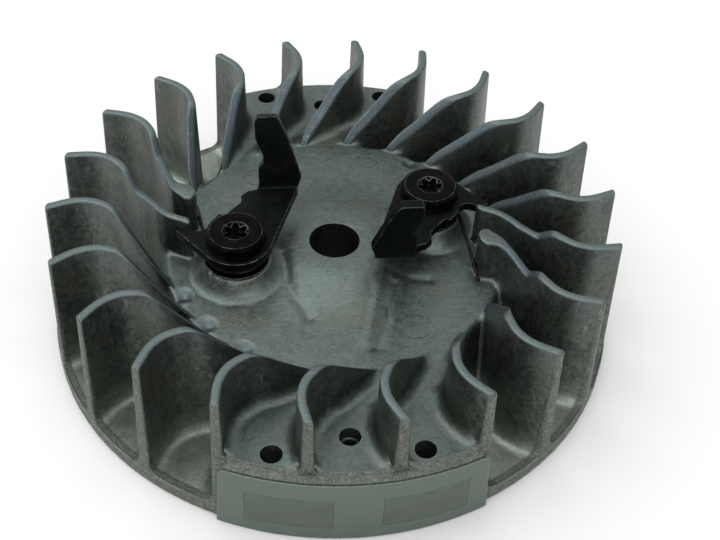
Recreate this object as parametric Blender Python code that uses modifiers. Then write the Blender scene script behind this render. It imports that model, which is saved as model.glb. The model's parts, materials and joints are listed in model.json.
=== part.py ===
"""Fan flywheel of a small engine, with a cast-in magnet and two sprung starter pawls.

Blender 4.5, metres, +Z up. Z is the crank axis, Z = 0 is the underside of the rim, and the
magnet face looks along -Y. The pawls stand in their rest position, swung in against their stops.
"""
import math

import bmesh
import bpy
from mathutils import Matrix, Vector

MM = 0.001
GAP = 0.3                   # clearance kept between neighbouring pieces, mm

# Casting: radii and heights in mm
RIM_R = 64.0
RIM_TOP_Z = 3.4
HUB_TOP_Z = 20.9
HUB_LAND_R = 9.5
HUB_SLOPE_FOOT = (17.5, 19.1)       # where the hub's slope flattens, as (radius, height)
PLATE_FLAT_R = 29.0
PLATE_Z = 18.6              # the plate that closes the top of the drum
PLATE_R = 37.0
DRUM_TOP_R = 38.5           # the drum's wall, from its rounded top edge to the rim floor
DRUM_TOP_Z = 17.6
DRUM_FOOT_R = 41.0
DRUM_FOOT_Z = 6.5
FLOOR_R = 43.5
HUB_R = 11.5
HUB_FOOT_Z = 1.5
CAVITY_CEILING_Z = 12.4
CAVITY_INNER_R = 13.0
CAVITY_TOP_R = 31.0
CAVITY_FOOT_R = 37.0
CAVITY_CHAMFER = (1.5, 2.0)         # across and down, at the outer corner of the ceiling
RIM_TOP_CHAMFER = 0.4
RIM_FOOT_CHAMFER = 0.3
BORE_TOP_R = 5.65
BORE_FOOT_R = 6.65
DISC_STEPS = 72
CUT_BEYOND = 5.0            # how far a cutter reaches past the surface it cuts

# Fins
FIN_COUNT = 22
FIN_PITCH = 2 * math.pi / FIN_COUNT
FIN_PHASE = math.radians(-0.7)      # how far the pair of fins at the magnet is turned off its centre
BOSS_FINS = (1, 9, 10, 11, 12, 20, 21, 22)      # these stand on the two raised bosses
TAIL_STOPS = (4, 15)        # the pawls' tails rest on the inner ends of these
PAD_STOPS = (3, 14)         # and the pawls swing out towards the wide ends of these
FIN_TIP_R = 62.5
FIN_TIP_FOOT_R = 63.7
FIN_TOP_Z = 33.4
FIN_PLAN = ((62.5, 0.0), (55.5, -1.9), (48.6, 0.5), (41.5, 6.9), (34.0, 11.6))
TAIL_STOP_PLAN = ((62.5, 0.0), (55.5, -1.9), (48.6, 0.5), (41.0, 6.2), (30.5, 9.9))
PAD_STOP_PLAN = ((62.5, 0.0), (55.5, -1.9), (48.6, 0.5), (39.2, 8.0), (35.5, 10.2), (30.4, 10.2))
FIN_SHOULDER_R = 47.8       # inside this radius the top edge falls to the plate
FIN_SLOPE = 1.43            # and it falls this many mm for each mm inward
FIN_END_R = 38.6
FIN_TOP_HALF = 0.95
FIN_FOOT_HALF = 1.35
STOP_TOP_Z = 29.05          # level inner legs of the four fins beside the pawls
STOP_END_R = 31.9
PAD_STOP_EXTRA_HALF = 1.5   # added half thickness at the wide inner end of a pad stop
PAD_STOP_WIDE_R = 34.0
PAD_STOP_NARROW_R = 38.5
FIN_STATIONS = 13
END_STEPS = 3               # stations around the rounded inner end of a stop
END_TURN = math.radians(75.0)       # how far they go round it
FOOT_EXTRA_GAP = 0.06       # spare clearance under the fins' feet, where the drum's wall is faceted

# Bosses at the rim: the front one holds the magnet, the rear one balances it
BOSS_R = 63.3
BOSS_INNER_R = 36.9
BOSS_FOOT_Z = 1.5           # the bosses start inside the rim floor
BOSS_EXTRA_HALF = 0.35      # and stand this much proud of the fins on their two sides
BOSS_STEPS = 14
POLE_R = 65.0
POLE_TOP_Z = 17.9
POLE_HALF_ANGLE = math.radians(25.0)
POLE_ROOT = 4.0             # how deep the pole block reaches into the boss
HOLE_R = 2.3
MAGNET_HOLE_FLOOR_Z = 12.4  # these open onto the magnet and its shoes
COUNTER_HOLE_FLOOR_Z = 6.0
HOLES = ((59.5, -15.5), (54.0, -0.4), (59.5, 13.1))     # radius in mm, degrees off the boss's centre

# Magnet and pole shoes
SHOE_OFFSET = math.radians(12.15)
SHOE_HALF_ANGLE = math.radians(7.85)
SHOE_BACK_Y = -57.6
SHOE_Z = (3.7, 12.7)
MAGNET_Y = (-57.3, -52.3)
MAGNET_HALF_X = 14.0

# Pawls: the left one's pivot, and its outline about that pivot in mm
PIVOT = (-22.0, -6.5)
PAD_R = 7.9
PAD_FOOT_R = 10.6
PAD_TOP_Z = 22.6
PAD_ROOT = 3.0              # how deep a pad reaches into the plate
PLATE_BOTTOM_Z = 25.9
PAWL_THICKNESS = 2.0
LOBE_R = 7.8
PAWL_HOLE_R = 4.8
TAIL_TIP = (-12.7, 4.0)
TAIL_NOTCH = ((-10.1, 4.35), (-8.9, 3.55), (-7.6, 3.6), (-6.4, 4.4), (-5.6, 6.4))
PAWL_BACK = ((-3.4, 10.0), (-2.4, 9.0), (1.3, 12.6), (1.35, 14.8), (2.9, 16.4), (4.9, 16.8))
BEND_Y = 17.05
BEND_X = (5.5, 15.2)
TAB_LEAN = math.radians(13.7)
TAB = ((5.5, 4.7), (6.6, 6.6), (6.7, 7.8), (4.95, 12.3), (4.95, 16.3), (5.6, 17.5), (9.6, 17.5),
       (10.3, 17.0), (12.2, 12.6), (15.2, 2.5))         # across, and up the leaning tab
TAB_CORNER = 0.5            # how far the tab's foot reaches down into the bend
BEND_BLOCK_Y = (16.45, 18.75)       # a block that fills the inside of the bend
BEND_BLOCK_Z = (0.25, 1.98)
TIP_BLUNT = ((0.0, 0.3), (-0.25, -0.2))     # blunts the tail's tip

# Shoulder screw and flanged bush
HEAD_R = 6.5
HEAD_Z = (28.2, 30.75)
HEAD_CHAMFER = 0.4
SHANK_R = 2.5
SHANK_END_Z = 13.4
SHANK_CHAMFER = 0.5
THREAD_SPARE = 0.4          # the threaded hole is this much deeper than the shank
SOCKET_R = 2.42
SOCKET_LOBE = 0.38
SOCKET_DEPTH = 2.0
FLANGE_R = 7.2
FLANGE_Z = (22.9, 23.2)
SLEEVE_R = 4.45
SLEEVE_TOP_Z = 27.85
SCREW_HOLE_R = 2.8

# Torsion spring, for the left pawl: places are about its pivot
WIRE_R = 0.3
COIL_R = 6.3
COIL_TOP_Z = 25.2
COIL_FOOT_Z = 24.0
COIL_TURNS = 1.75
COIL_END = math.radians(187.3)
COIL_STEPS = 20             # to the turn
HOOK_END = (-3.9, 7.6, COIL_TOP_Z)
LEG_KNEE = (-7.1, 6.5, 23.75)
LEG_END = (-8.1, 20.0, 19.9)
LEG_STEPS = 4

ALUMINIUM = ((0.30, 0.32, 0.30), 0.42, 0.85)
STEEL = ((0.22, 0.23, 0.22), 0.4, 0.9)
BLACK_OXIDE = ((0.02, 0.022, 0.024), 0.38, 0.7)
MAGNET_GREY = ((0.09, 0.09, 0.1), 0.6, 0.4)


def clear_scene():
    for obj in list(bpy.data.objects):
        bpy.data.objects.remove(obj, do_unlink=True)


def new_collection(name):
    collection = bpy.data.collections.new(name)
    bpy.context.scene.collection.children.link(collection)
    return collection


def add_material(obj, look):
    color, roughness, metallic = look
    material = bpy.data.materials.new(obj.name)
    material.use_nodes = True
    shader = material.node_tree.nodes["Principled BSDF"]
    shader.inputs["Base Color"].default_value = (*color, 1.0)
    shader.inputs["Roughness"].default_value = roughness
    shader.inputs["Metallic"].default_value = metallic
    obj.data.materials.clear()
    obj.data.materials.append(material)


def add_mesh(name, mesh, collection):
    obj = bpy.data.objects.new(name, mesh)
    collection.objects.link(obj)
    return obj


def finish_round(obj, degrees=35):
    obj.data.shade_smooth()
    obj.data.set_sharp_from_angle(angle=math.radians(degrees))


def as_cutter(obj):
    obj.hide_render = True
    obj.display_type = "WIRE"
    return obj


def polar(radius, angle):
    return (radius * math.cos(angle), radius * math.sin(angle))


def turn(point, angle):
    x, y = point[0], point[1]
    return (x * math.cos(angle) - y * math.sin(angle), x * math.sin(angle) + y * math.cos(angle))


def arc(radius, start, end, steps):
    return [polar(radius, start + (end - start) * i / steps) for i in range(steps + 1)]


def smooth_path(points, per_span):
    """Points along a smooth curve through the given ones (Catmull-Rom)."""
    pts = [Vector((*p, 0.0)) for p in points]
    pts = [2 * pts[0] - pts[1], *pts, 2 * pts[-1] - pts[-2]]
    path = []
    for i in range(1, len(pts) - 2):
        a, b, c, d = pts[i - 1:i + 3]
        for k in range(per_span):
            t = k / per_span
            path.append(0.5 * (2 * b + (c - a) * t + (2 * a - 5 * b + 4 * c - d) * t ** 2
                               + (3 * b - a - 3 * c + d) * t ** 3))
    path.append(pts[-2])
    return path


def at_radius(path, radius):
    """The point where a path that runs inward crosses a radius, and its direction there."""
    for a, b in zip(path, path[1:]):
        if a.length >= radius >= b.length:
            t = (a.length - radius) / (a.length - b.length)
            return a.lerp(b, t), (b - a).normalized()
    return path[-1], (path[-1] - path[-2]).normalized()


def fin_angle(number):
    """Direction of a fin's tip. Fins 10 and 11 stand either side of the magnet boss's centre."""
    return -math.pi / 2 + FIN_PHASE + (number - 10.5) * FIN_PITCH


def turned(name, profile, steps, collection):
    """A closed profile of (radius, height), drawn down its outer side, turned about Z."""
    mesh = bpy.data.meshes.new(name)
    verts = [(r * MM, 0.0, z * MM) for r, z in profile]
    edges = [(i, (i + 1) % len(verts)) for i in range(len(verts))]
    mesh.from_pydata(verts, edges, [])
    obj = add_mesh(name, mesh, collection)
    screw = obj.modifiers.new("turn", "SCREW")
    screw.axis = "Z"
    screw.steps = steps
    screw.render_steps = steps
    screw.use_merge_vertices = True
    screw.merge_threshold = 0.00001
    screw.use_smooth_shade = True
    return obj


def plate_curve(name, outline, thickness, collection):
    """A flat outline in mm, thickened about its own plane."""
    curve = bpy.data.curves.new(name, "CURVE")
    curve.dimensions = "2D"
    curve.fill_mode = "BOTH"
    curve.extrude = thickness * MM / 2
    spline = curve.splines.new("POLY")
    spline.points.add(len(outline) - 1)
    for point, (x, y) in zip(spline.points, outline):
        point.co = (x * MM, y * MM, 0.0, 1.0)
    spline.use_cyclic_u = True
    obj = bpy.data.objects.new(name, curve)
    collection.objects.link(obj)
    return obj


def to_mesh(obj):
    """The same shape and place as a closed mesh, so that it can be cut or joined."""
    bpy.context.view_layer.update()
    evaluated = obj.evaluated_get(bpy.context.evaluated_depsgraph_get())
    mesh = bpy.data.meshes.new_from_object(evaluated)
    solid = bmesh.new()
    solid.from_mesh(mesh)
    bmesh.ops.remove_doubles(solid, verts=solid.verts, dist=0.000002)
    bmesh.ops.recalc_face_normals(solid, faces=solid.faces)
    solid.to_mesh(mesh)
    solid.free()
    mesh.transform(obj.matrix_world)
    name, collection = obj.name, obj.users_collection[0]
    bpy.data.objects.remove(obj, do_unlink=True)
    return add_mesh(name, mesh, collection)


def prism(name, outline, low, high, collection):
    """An upright prism as a closed mesh, between two heights in mm."""
    obj = plate_curve(name, outline, high - low, collection)
    obj.location.z = (low + high) / 2 * MM
    return to_mesh(obj)


def cylinder(name, radius, low, high, centre, collection, top_radius=None, sides=32):
    solid = bmesh.new()
    bmesh.ops.create_cone(solid, cap_ends=True, segments=sides, radius1=radius * MM,
                          radius2=(top_radius or radius) * MM, depth=(high - low) * MM)
    mesh = bpy.data.meshes.new(name)
    solid.to_mesh(mesh)
    solid.free()
    obj = add_mesh(name, mesh, collection)
    obj.location = (centre[0] * MM, centre[1] * MM, (low + high) / 2 * MM)
    return obj


def combine(obj, other, operation):
    modifier = obj.modifiers.new(other.name, "BOOLEAN")
    modifier.operation = operation
    modifier.object = other
    modifier.solver = "EXACT"


def apply_modifiers(obj):
    """Bake an object's modifiers into its mesh, so that copies can share it."""
    bpy.context.view_layer.update()
    evaluated = obj.evaluated_get(bpy.context.evaluated_depsgraph_get())
    mesh = bpy.data.meshes.new_from_object(evaluated)
    obj.modifiers.clear()
    obj.data = mesh


# ---------------------------------------------------------------- casting

def loft(name, sections):
    """A closed mesh through four-cornered cross-sections."""
    solid = bmesh.new()
    rings = [[solid.verts.new(p) for p in section] for section in sections]
    for a, b in zip(rings, rings[1:]):
        for k in range(4):
            solid.faces.new((a[k], a[(k + 1) % 4], b[(k + 1) % 4], b[k]))
    solid.faces.new(rings[0][::-1])
    solid.faces.new(rings[-1])
    bmesh.ops.recalc_face_normals(solid, faces=solid.faces)
    mesh = bpy.data.meshes.new(name)
    solid.to_mesh(mesh)
    solid.free()
    return mesh


def disc_profile():
    """Hub, plate, drum wall and rim floor, down the outer side and back under to the bore."""
    return [
        (BORE_TOP_R, HUB_TOP_Z), (HUB_LAND_R, HUB_TOP_Z), HUB_SLOPE_FOOT,
        (PLATE_FLAT_R, PLATE_Z), (PLATE_R, PLATE_Z), (DRUM_TOP_R, DRUM_TOP_Z),
        (DRUM_FOOT_R, DRUM_FOOT_Z), (FLOOR_R, RIM_TOP_Z), (RIM_R - RIM_TOP_CHAMFER, RIM_TOP_Z),
        (RIM_R, RIM_TOP_Z - RIM_TOP_CHAMFER), (RIM_R, RIM_FOOT_CHAMFER), (RIM_R - RIM_FOOT_CHAMFER, 0.0),
        (CAVITY_FOOT_R, 0.0), (CAVITY_TOP_R + CAVITY_CHAMFER[0], CAVITY_CEILING_Z - CAVITY_CHAMFER[1]),
        (CAVITY_TOP_R, CAVITY_CEILING_Z), (CAVITY_INNER_R, CAVITY_CEILING_Z),
        (HUB_R, CAVITY_CEILING_Z + HUB_R - CAVITY_INNER_R), (HUB_R, HUB_FOOT_Z), (BORE_FOOT_R, HUB_FOOT_Z),
    ]


def boss_outline(first_fin, last_fin, path):
    """Between two fins' outer faces, from inside the drum out to the boss's radius."""
    def side(fin, sign):
        points = []
        for i in range(BOSS_STEPS + 1):
            radius = BOSS_INNER_R + (BOSS_R - BOSS_INNER_R) * i / BOSS_STEPS
            point, along = at_radius(path, min(radius, FIN_TIP_R - 0.01))
            across = Vector((along.y, -along.x, 0.0)) * sign
            edge = point + across * (FIN_FOOT_HALF + BOSS_EXTRA_HALF)
            edge = edge * (radius / edge.length)
            points.append(turn(edge, fin_angle(fin)))
        return points
    def join(radius, first, last):
        a0, a1 = math.atan2(first[1], first[0]), math.atan2(last[1], last[0])
        return arc(radius, a0, a0 + (a1 - a0) % (2 * math.pi), BOSS_STEPS)[1:-1]

    start = side(first_fin, -1)
    end = side(last_fin, 1)
    inner = join(BOSS_INNER_R, start[0], end[0])
    return start + join(BOSS_R, start[-1], end[-1]) + end[::-1] + inner[::-1]


def make_disc(parts, cutters):
    disc = turned("flywheel_disc", disc_profile(), DISC_STEPS, parts)
    path = smooth_path(FIN_PLAN, 12)
    for name, first, last in (("magnet_boss", 9, 12), ("counter_boss", 20, 23)):
        outline = boss_outline(first, last, path)
        boss = as_cutter(prism(name, outline, BOSS_FOOT_Z, PLATE_Z, cutters))
        combine(disc, boss, "UNION")
    pole = arc(POLE_R, -math.pi / 2 - POLE_HALF_ANGLE, -math.pi / 2 + POLE_HALF_ANGLE, 24)
    pole += arc(BOSS_R - POLE_ROOT, -math.pi / 2 + POLE_HALF_ANGLE, -math.pi / 2 - POLE_HALF_ANGLE, 12)
    combine(disc, as_cutter(prism("pole_block", pole, 0.0, POLE_TOP_Z, cutters)), "UNION")
    for side, angle in (("left", 0.0), ("right", math.pi)):
        centre = turn(PIVOT, angle)
        pad = cylinder(side + "_pad", PAD_FOOT_R, PLATE_Z - PAD_ROOT, PAD_TOP_Z, centre, cutters, PAD_R)
        combine(disc, as_cutter(pad), "UNION")
        thread = cylinder(side + "_thread", SCREW_HOLE_R, SHANK_END_Z - THREAD_SPARE,
                          PAD_TOP_Z + CUT_BEYOND, centre, cutters)
        combine(disc, as_cutter(thread), "DIFFERENCE")
    for boss_angle, floor in ((-math.pi / 2, MAGNET_HOLE_FLOOR_Z), (math.pi / 2, COUNTER_HOLE_FLOOR_Z)):
        for radius, degrees in HOLES:
            centre = polar(radius, boss_angle + math.radians(degrees))
            hole = cylinder("hole", HOLE_R, floor, PLATE_Z + CUT_BEYOND, centre, cutters, sides=24)
            combine(disc, as_cutter(hole), "DIFFERENCE")
    for shape in magnet_pockets(cutters):
        combine(disc, shape, "DIFFERENCE")
    add_material(disc, ALUMINIUM)
    return disc


def fin_clearance(cutters):
    """The casting's top surface grown by a little over one gap, which trims the fins' feet."""
    grow = GAP + FOOT_EXTRA_GAP
    profile = [
        (PLATE_FLAT_R, PLATE_Z + grow), (PLATE_R + grow / 2, PLATE_Z + grow),
        (DRUM_TOP_R + grow, DRUM_TOP_Z + grow / 2), (DRUM_FOOT_R + grow, DRUM_FOOT_Z + grow / 2),
        (FLOOR_R + 0.1, RIM_TOP_Z + GAP), (FLOOR_R + 0.1, 0.0), (PLATE_FLAT_R, 0.0),
    ]
    return as_cutter(turned("fin_clearance", profile, DISC_STEPS, cutters))


def fin_top(radius, is_stop):
    """Height of a fin's top edge: level outside the shoulder, falling inside it."""
    height = FIN_TOP_Z - FIN_SLOPE * max(0.0, FIN_SHOULDER_R - radius)
    return max(height, STOP_TOP_Z) if is_stop else height


def pad_stop_extra(radius):
    """Extra half thickness of a pad stop, which widens towards its inner end."""
    share = (PAD_STOP_NARROW_R - radius) / (PAD_STOP_NARROW_R - PAD_STOP_WIDE_R)
    return PAD_STOP_EXTRA_HALF * max(0.0, min(1.0, share))


def fin_stations(number):
    """Radius, extra half thickness and width factor of each cross-section, from the tip inward."""
    is_pad_stop = number in PAD_STOPS
    is_stop = is_pad_stop or number in TAIL_STOPS
    end_half = FIN_TOP_HALF + (PAD_STOP_EXTRA_HALF if is_pad_stop else 0.0)
    last = STOP_END_R + end_half if is_stop else FIN_END_R
    stations = []
    for i in range(FIN_STATIONS):
        radius = FIN_TIP_R - (FIN_TIP_R - last) * i / (FIN_STATIONS - 1)
        stations.append((radius, pad_stop_extra(radius) if is_pad_stop else 0.0, 1.0))
    if is_stop:
        for i in range(1, END_STEPS + 1):
            angle = END_TURN * i / END_STEPS
            extra = PAD_STOP_EXTRA_HALF if is_pad_stop else 0.0
            stations.append((last - end_half * math.sin(angle), extra, math.cos(angle)))
    return stations


def make_fin(number, parts, clearance):
    """One fin, lofted between cross-sections that stand along its curved plan."""
    name = f"fin_{number:02d}"
    on_boss = number in BOSS_FINS
    is_stop = number in PAD_STOPS or number in TAIL_STOPS
    plan = PAD_STOP_PLAN if number in PAD_STOPS else TAIL_STOP_PLAN if number in TAIL_STOPS else FIN_PLAN
    path = smooth_path(plan, 16)
    floor = PLATE_Z + GAP if on_boss else RIM_TOP_Z + GAP
    foot_radius = BOSS_R - GAP if on_boss else FIN_TIP_FOOT_R
    sections = []
    for radius, extra, factor in fin_stations(number):
        point, along = at_radius(path, radius)
        across = Vector((-along.y, along.x, 0.0))
        section = []
        for half, sign, is_top in ((FIN_FOOT_HALF, -1, False), (FIN_FOOT_HALF, 1, False),
                                   (FIN_TOP_HALF, 1, True), (FIN_TOP_HALF, -1, True)):
            corner = point + across * sign * (half + extra) * factor
            if radius == FIN_TIP_R:
                outer = FIN_TIP_R if is_top else foot_radius
                corner = corner * (outer / corner.length)
            height = fin_top(radius, is_stop) if is_top else floor
            section.append((corner.x * MM, corner.y * MM, height * MM))
        sections.append(section)
    fin = add_mesh(name, loft(name, sections), parts)
    fin.rotation_euler.z = fin_angle(number)
    if not on_boss:
        combine(fin, clearance, "DIFFERENCE")
    finish_round(fin)
    add_material(fin, ALUMINIUM)
    return fin


# ---------------------------------------------------------------- magnet

def shoe_outline(side, grow=0.0):
    """A pole shoe seen from above: an arc of the magnet face and a flat back."""
    centre = -math.pi / 2 + side * SHOE_OFFSET
    extra = grow / abs(SHOE_BACK_Y)
    face_radius = POLE_R + (CUT_BEYOND if grow else 0.0)
    face = arc(face_radius, centre - SHOE_HALF_ANGLE - extra, centre + SHOE_HALF_ANGLE + extra, 8)
    back = SHOE_BACK_Y + grow
    first, last = face[0], face[-1]
    return face + [(last[0] * back / last[1], back), (first[0] * back / first[1], back)]


def magnet_box(name, grow, collection):
    solid = bmesh.new()
    bmesh.ops.create_cube(solid, size=1.0)
    mesh = bpy.data.meshes.new(name)
    size = (2 * (MAGNET_HALF_X + grow), MAGNET_Y[1] - MAGNET_Y[0] + 2 * grow,
            SHOE_Z[1] - SHOE_Z[0] + 2 * grow)
    bmesh.ops.scale(solid, vec=Vector(size) * MM, verts=solid.verts)
    solid.to_mesh(mesh)
    solid.free()
    obj = add_mesh(name, mesh, collection)
    obj.location = (0.0, sum(MAGNET_Y) / 2 * MM, sum(SHOE_Z) / 2 * MM)
    return obj


def magnet_pockets(cutters):
    """Pockets for the shoes and the magnet, one gap larger than the pieces in them."""
    shapes = []
    for side, label in ((-1, "left"), (1, "right")):
        outline = shoe_outline(side, GAP)
        shapes.append(prism(label + "_shoe_pocket", outline, SHOE_Z[0] - GAP, SHOE_Z[1] + GAP, cutters))
    shapes.append(magnet_box("magnet_pocket", GAP, cutters))
    return [as_cutter(shape) for shape in shapes]


def make_magnet(parts):
    for side, label in ((-1, "left"), (1, "right")):
        shoe = prism(label + "_pole_shoe", shoe_outline(side), SHOE_Z[0], SHOE_Z[1], parts)
        add_material(shoe, STEEL)
    magnet = magnet_box("magnet", 0.0, parts)
    bevel = magnet.modifiers.new("edges", "BEVEL")
    bevel.width = 0.3 * MM
    bevel.segments = 1
    add_material(magnet, MAGNET_GREY)


# ---------------------------------------------------------------- pawls

def pawl_outline():
    """The pawl's flat plate: a round lobe, the tail, the back edge and the straight front edge."""
    tip = Vector(TAIL_TIP)
    reach = math.acos(LOBE_R / tip.length)
    tail_tangent = math.atan2(tip.y, tip.x) + reach
    corner = Vector((BEND_X[1], BEND_Y))
    front_tangent = math.atan2(corner.y, corner.x) - math.acos(LOBE_R / corner.length)
    lobe = arc(LOBE_R, tail_tangent, front_tangent + 2 * math.pi, 14)
    top = [(BEND_X[1], BEND_Y), (BEND_X[0], BEND_Y)]
    blunt = [(tip.x + x, tip.y + y) for x, y in TIP_BLUNT]
    return lobe + top + list(PAWL_BACK[::-1]) + list(TAIL_NOTCH[::-1]) + blunt


def pawl_mesh(cutters):
    """Flat plate and leaning tab joined, with the pivot hole at the origin."""
    plate = prism("pawl_plate", pawl_outline(), 0.0, PAWL_THICKNESS, cutters)
    foot = [(BEND_X[1], -TAB_CORNER), (BEND_X[0], -TAB_CORNER)]
    tab = plate_curve("pawl_tab", list(TAB) + foot, PAWL_THICKNESS, cutters)
    upright = Matrix.Rotation(math.pi / 2 - TAB_LEAN, 4, "X")
    outward = upright @ Vector((0.0, 0.0, -PAWL_THICKNESS / 2))
    place = Vector((0.0, BEND_Y + outward.y, PAWL_THICKNESS + outward.z)) * MM
    tab.matrix_world = Matrix.Translation(place) @ upright
    tab = to_mesh(tab)
    near, far = BEND_BLOCK_Y
    corner = [(BEND_X[0], near), (BEND_X[1], near), (BEND_X[1], far), (BEND_X[0], far)]
    bend = prism("pawl_bend", corner, *BEND_BLOCK_Z, cutters)
    hole = cylinder("pawl_hole", PAWL_HOLE_R, -CUT_BEYOND, PAWL_THICKNESS + CUT_BEYOND, (0, 0), cutters)
    combine(plate, as_cutter(bend), "UNION")
    combine(plate, as_cutter(tab), "UNION")
    combine(plate, as_cutter(hole), "DIFFERENCE")
    apply_modifiers(plate)
    return as_cutter(plate).data


def socket_outline():
    """Six-lobe drive recess."""
    steps = 36
    outline = []
    for i in range(steps):
        angle = 2 * math.pi * i / steps
        outline.append(polar(SOCKET_R + SOCKET_LOBE * math.cos(6 * angle), angle))
    return outline


def screw_mesh(cutters):
    """Round head with a six-lobe recess, on a threaded shank."""
    profile = [
        (0.0, HEAD_Z[1]), (HEAD_R - HEAD_CHAMFER, HEAD_Z[1]), (HEAD_R, HEAD_Z[1] - HEAD_CHAMFER),
        (HEAD_R, HEAD_Z[0]), (SHANK_R, HEAD_Z[0]), (SHANK_R, SHANK_END_Z + SHANK_CHAMFER),
        (SHANK_R - SHANK_CHAMFER, SHANK_END_Z), (0.0, SHANK_END_Z),
    ]
    screw = turned("screw_body", profile, 32, cutters)
    socket = prism("socket", socket_outline(), HEAD_Z[1] - SOCKET_DEPTH, HEAD_Z[1] + CUT_BEYOND, cutters)
    combine(screw, as_cutter(socket), "DIFFERENCE")
    apply_modifiers(screw)
    return as_cutter(screw).data


def bush_mesh(cutters):
    """Flange below the pawl and a sleeve through it."""
    profile = [
        (SCREW_HOLE_R, SLEEVE_TOP_Z), (SLEEVE_R, SLEEVE_TOP_Z), (SLEEVE_R, FLANGE_Z[1]),
        (FLANGE_R, FLANGE_Z[1]), (FLANGE_R, FLANGE_Z[0]), (SCREW_HOLE_R, FLANGE_Z[0]),
    ]
    bush = turned("bush_body", profile, 32, cutters)
    apply_modifiers(bush)
    return as_cutter(bush).data


def spring_route():
    """Hook, coil and long leg of the torsion spring, as points about the pivot in mm."""
    steps = round(COIL_TURNS * COIL_STEPS)
    route = [Vector(HOOK_END)]
    for i in range(steps + 1):
        angle = COIL_END + 2 * math.pi * (steps - i) / COIL_STEPS
        height = COIL_TOP_Z + (COIL_FOOT_Z - COIL_TOP_Z) * i / steps
        route.append(Vector((*polar(COIL_R, angle), height)))
    for target in (Vector(LEG_KNEE), Vector(LEG_END)):
        start = route[-1]
        for i in range(1, LEG_STEPS + 1):
            route.append(start.lerp(target, i / LEG_STEPS))
    return route


def spring_mesh(cutters):
    curve = bpy.data.curves.new("spring_wire", "CURVE")
    curve.dimensions = "3D"
    curve.bevel_depth = WIRE_R * MM
    curve.bevel_resolution = 2
    curve.use_fill_caps = True
    route = spring_route()
    spline = curve.splines.new("POLY")
    spline.points.add(len(route) - 1)
    for point, position in zip(spline.points, route):
        point.co = (*(position * MM), 1.0)
    obj = bpy.data.objects.new("spring_wire", curve)
    cutters.objects.link(obj)
    return as_cutter(to_mesh(obj)).data


def make_pawls(parts, cutters):
    pieces = (
        ("pawl", pawl_mesh(cutters), PLATE_BOTTOM_Z, BLACK_OXIDE),
        ("pawl_screw", screw_mesh(cutters), 0.0, BLACK_OXIDE),
        ("pawl_bush", bush_mesh(cutters), 0.0, BLACK_OXIDE),
        ("pawl_spring", spring_mesh(cutters), 0.0, BLACK_OXIDE),
    )
    for side, angle in (("left", 0.0), ("right", math.pi)):
        pivot = bpy.data.objects.new(side + "_pivot", None)
        parts.objects.link(pivot)
        x, y = turn(PIVOT, angle)
        pivot.location = (x * MM, y * MM, 0.0)
        pivot.rotation_euler.z = angle
        for kind, mesh, height, look in pieces:
            obj = add_mesh(side + "_" + kind, mesh.copy(), parts)
            obj.parent = pivot
            obj.location.z = height * MM
            finish_round(obj)
            add_material(obj, look)


def main():
    clear_scene()
    parts = new_collection("flywheel")
    cutters = new_collection("cutters")
    make_disc(parts, cutters)
    clearance = fin_clearance(cutters)
    for number in range(1, FIN_COUNT + 1):
        make_fin(number, parts, clearance)
    make_magnet(parts)
    make_pawls(parts, cutters)


main()
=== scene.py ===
"""Looks of the fan flywheel: one continuous casting, pole shoes, pawls, screws, bushes and springs.

Lengths in this file are in millimetres, and are turned into metres as each mesh is made.
"""
import json
import math

import bmesh
import bpy
import numpy as np
from mathutils import Matrix, Vector


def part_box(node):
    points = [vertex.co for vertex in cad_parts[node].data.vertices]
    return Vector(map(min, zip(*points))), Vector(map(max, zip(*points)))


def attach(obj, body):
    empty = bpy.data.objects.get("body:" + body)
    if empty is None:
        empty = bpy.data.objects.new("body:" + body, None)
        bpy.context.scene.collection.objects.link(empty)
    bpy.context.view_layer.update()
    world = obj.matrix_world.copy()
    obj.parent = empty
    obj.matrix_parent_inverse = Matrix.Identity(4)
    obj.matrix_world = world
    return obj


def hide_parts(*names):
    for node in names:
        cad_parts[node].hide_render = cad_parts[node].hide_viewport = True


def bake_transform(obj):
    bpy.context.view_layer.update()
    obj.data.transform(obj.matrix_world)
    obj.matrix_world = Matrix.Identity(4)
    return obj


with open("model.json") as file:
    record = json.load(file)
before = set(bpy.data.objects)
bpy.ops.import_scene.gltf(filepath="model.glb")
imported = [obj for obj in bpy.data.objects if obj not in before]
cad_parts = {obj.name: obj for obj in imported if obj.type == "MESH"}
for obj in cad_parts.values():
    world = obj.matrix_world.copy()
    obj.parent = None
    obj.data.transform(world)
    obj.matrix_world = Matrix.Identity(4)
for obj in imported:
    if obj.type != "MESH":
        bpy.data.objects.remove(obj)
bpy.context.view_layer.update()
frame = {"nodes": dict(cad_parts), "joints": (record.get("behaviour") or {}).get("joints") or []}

MM = 0.001
JOINTS = {joint["name"]: joint for joint in frame["joints"]}


def box_mm(node):
    """Lowest and highest corner of a CAD node, in mm."""
    low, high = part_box(node)
    return low / MM, high / MM


# ---- sizes read from the frame
DISC_LOW, DISC_HIGH = box_mm("flywheel_disc")
RIM_R = DISC_HIGH.x
POLE_R = -DISC_LOW.y
PAD_TOP = DISC_HIGH.z
FIN_TOP = box_mm("fin_07")[1].z
SHOE_LOW, SHOE_HIGH = box_mm("right_pole_shoe")
MAGNET_LOW, MAGNET_HIGH = box_mm("magnet")
LEFT_PIVOT = Vector(JOINTS["left_pawl_pivot"]["pos_m"]) / MM
SCREW_LOW, SCREW_HIGH = box_mm("left_pawl_screw")
BUSH_LOW, BUSH_HIGH = box_mm("left_pawl_bush")
PAWL_FOOT_Z = box_mm("left_pawl")[0].z

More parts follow.
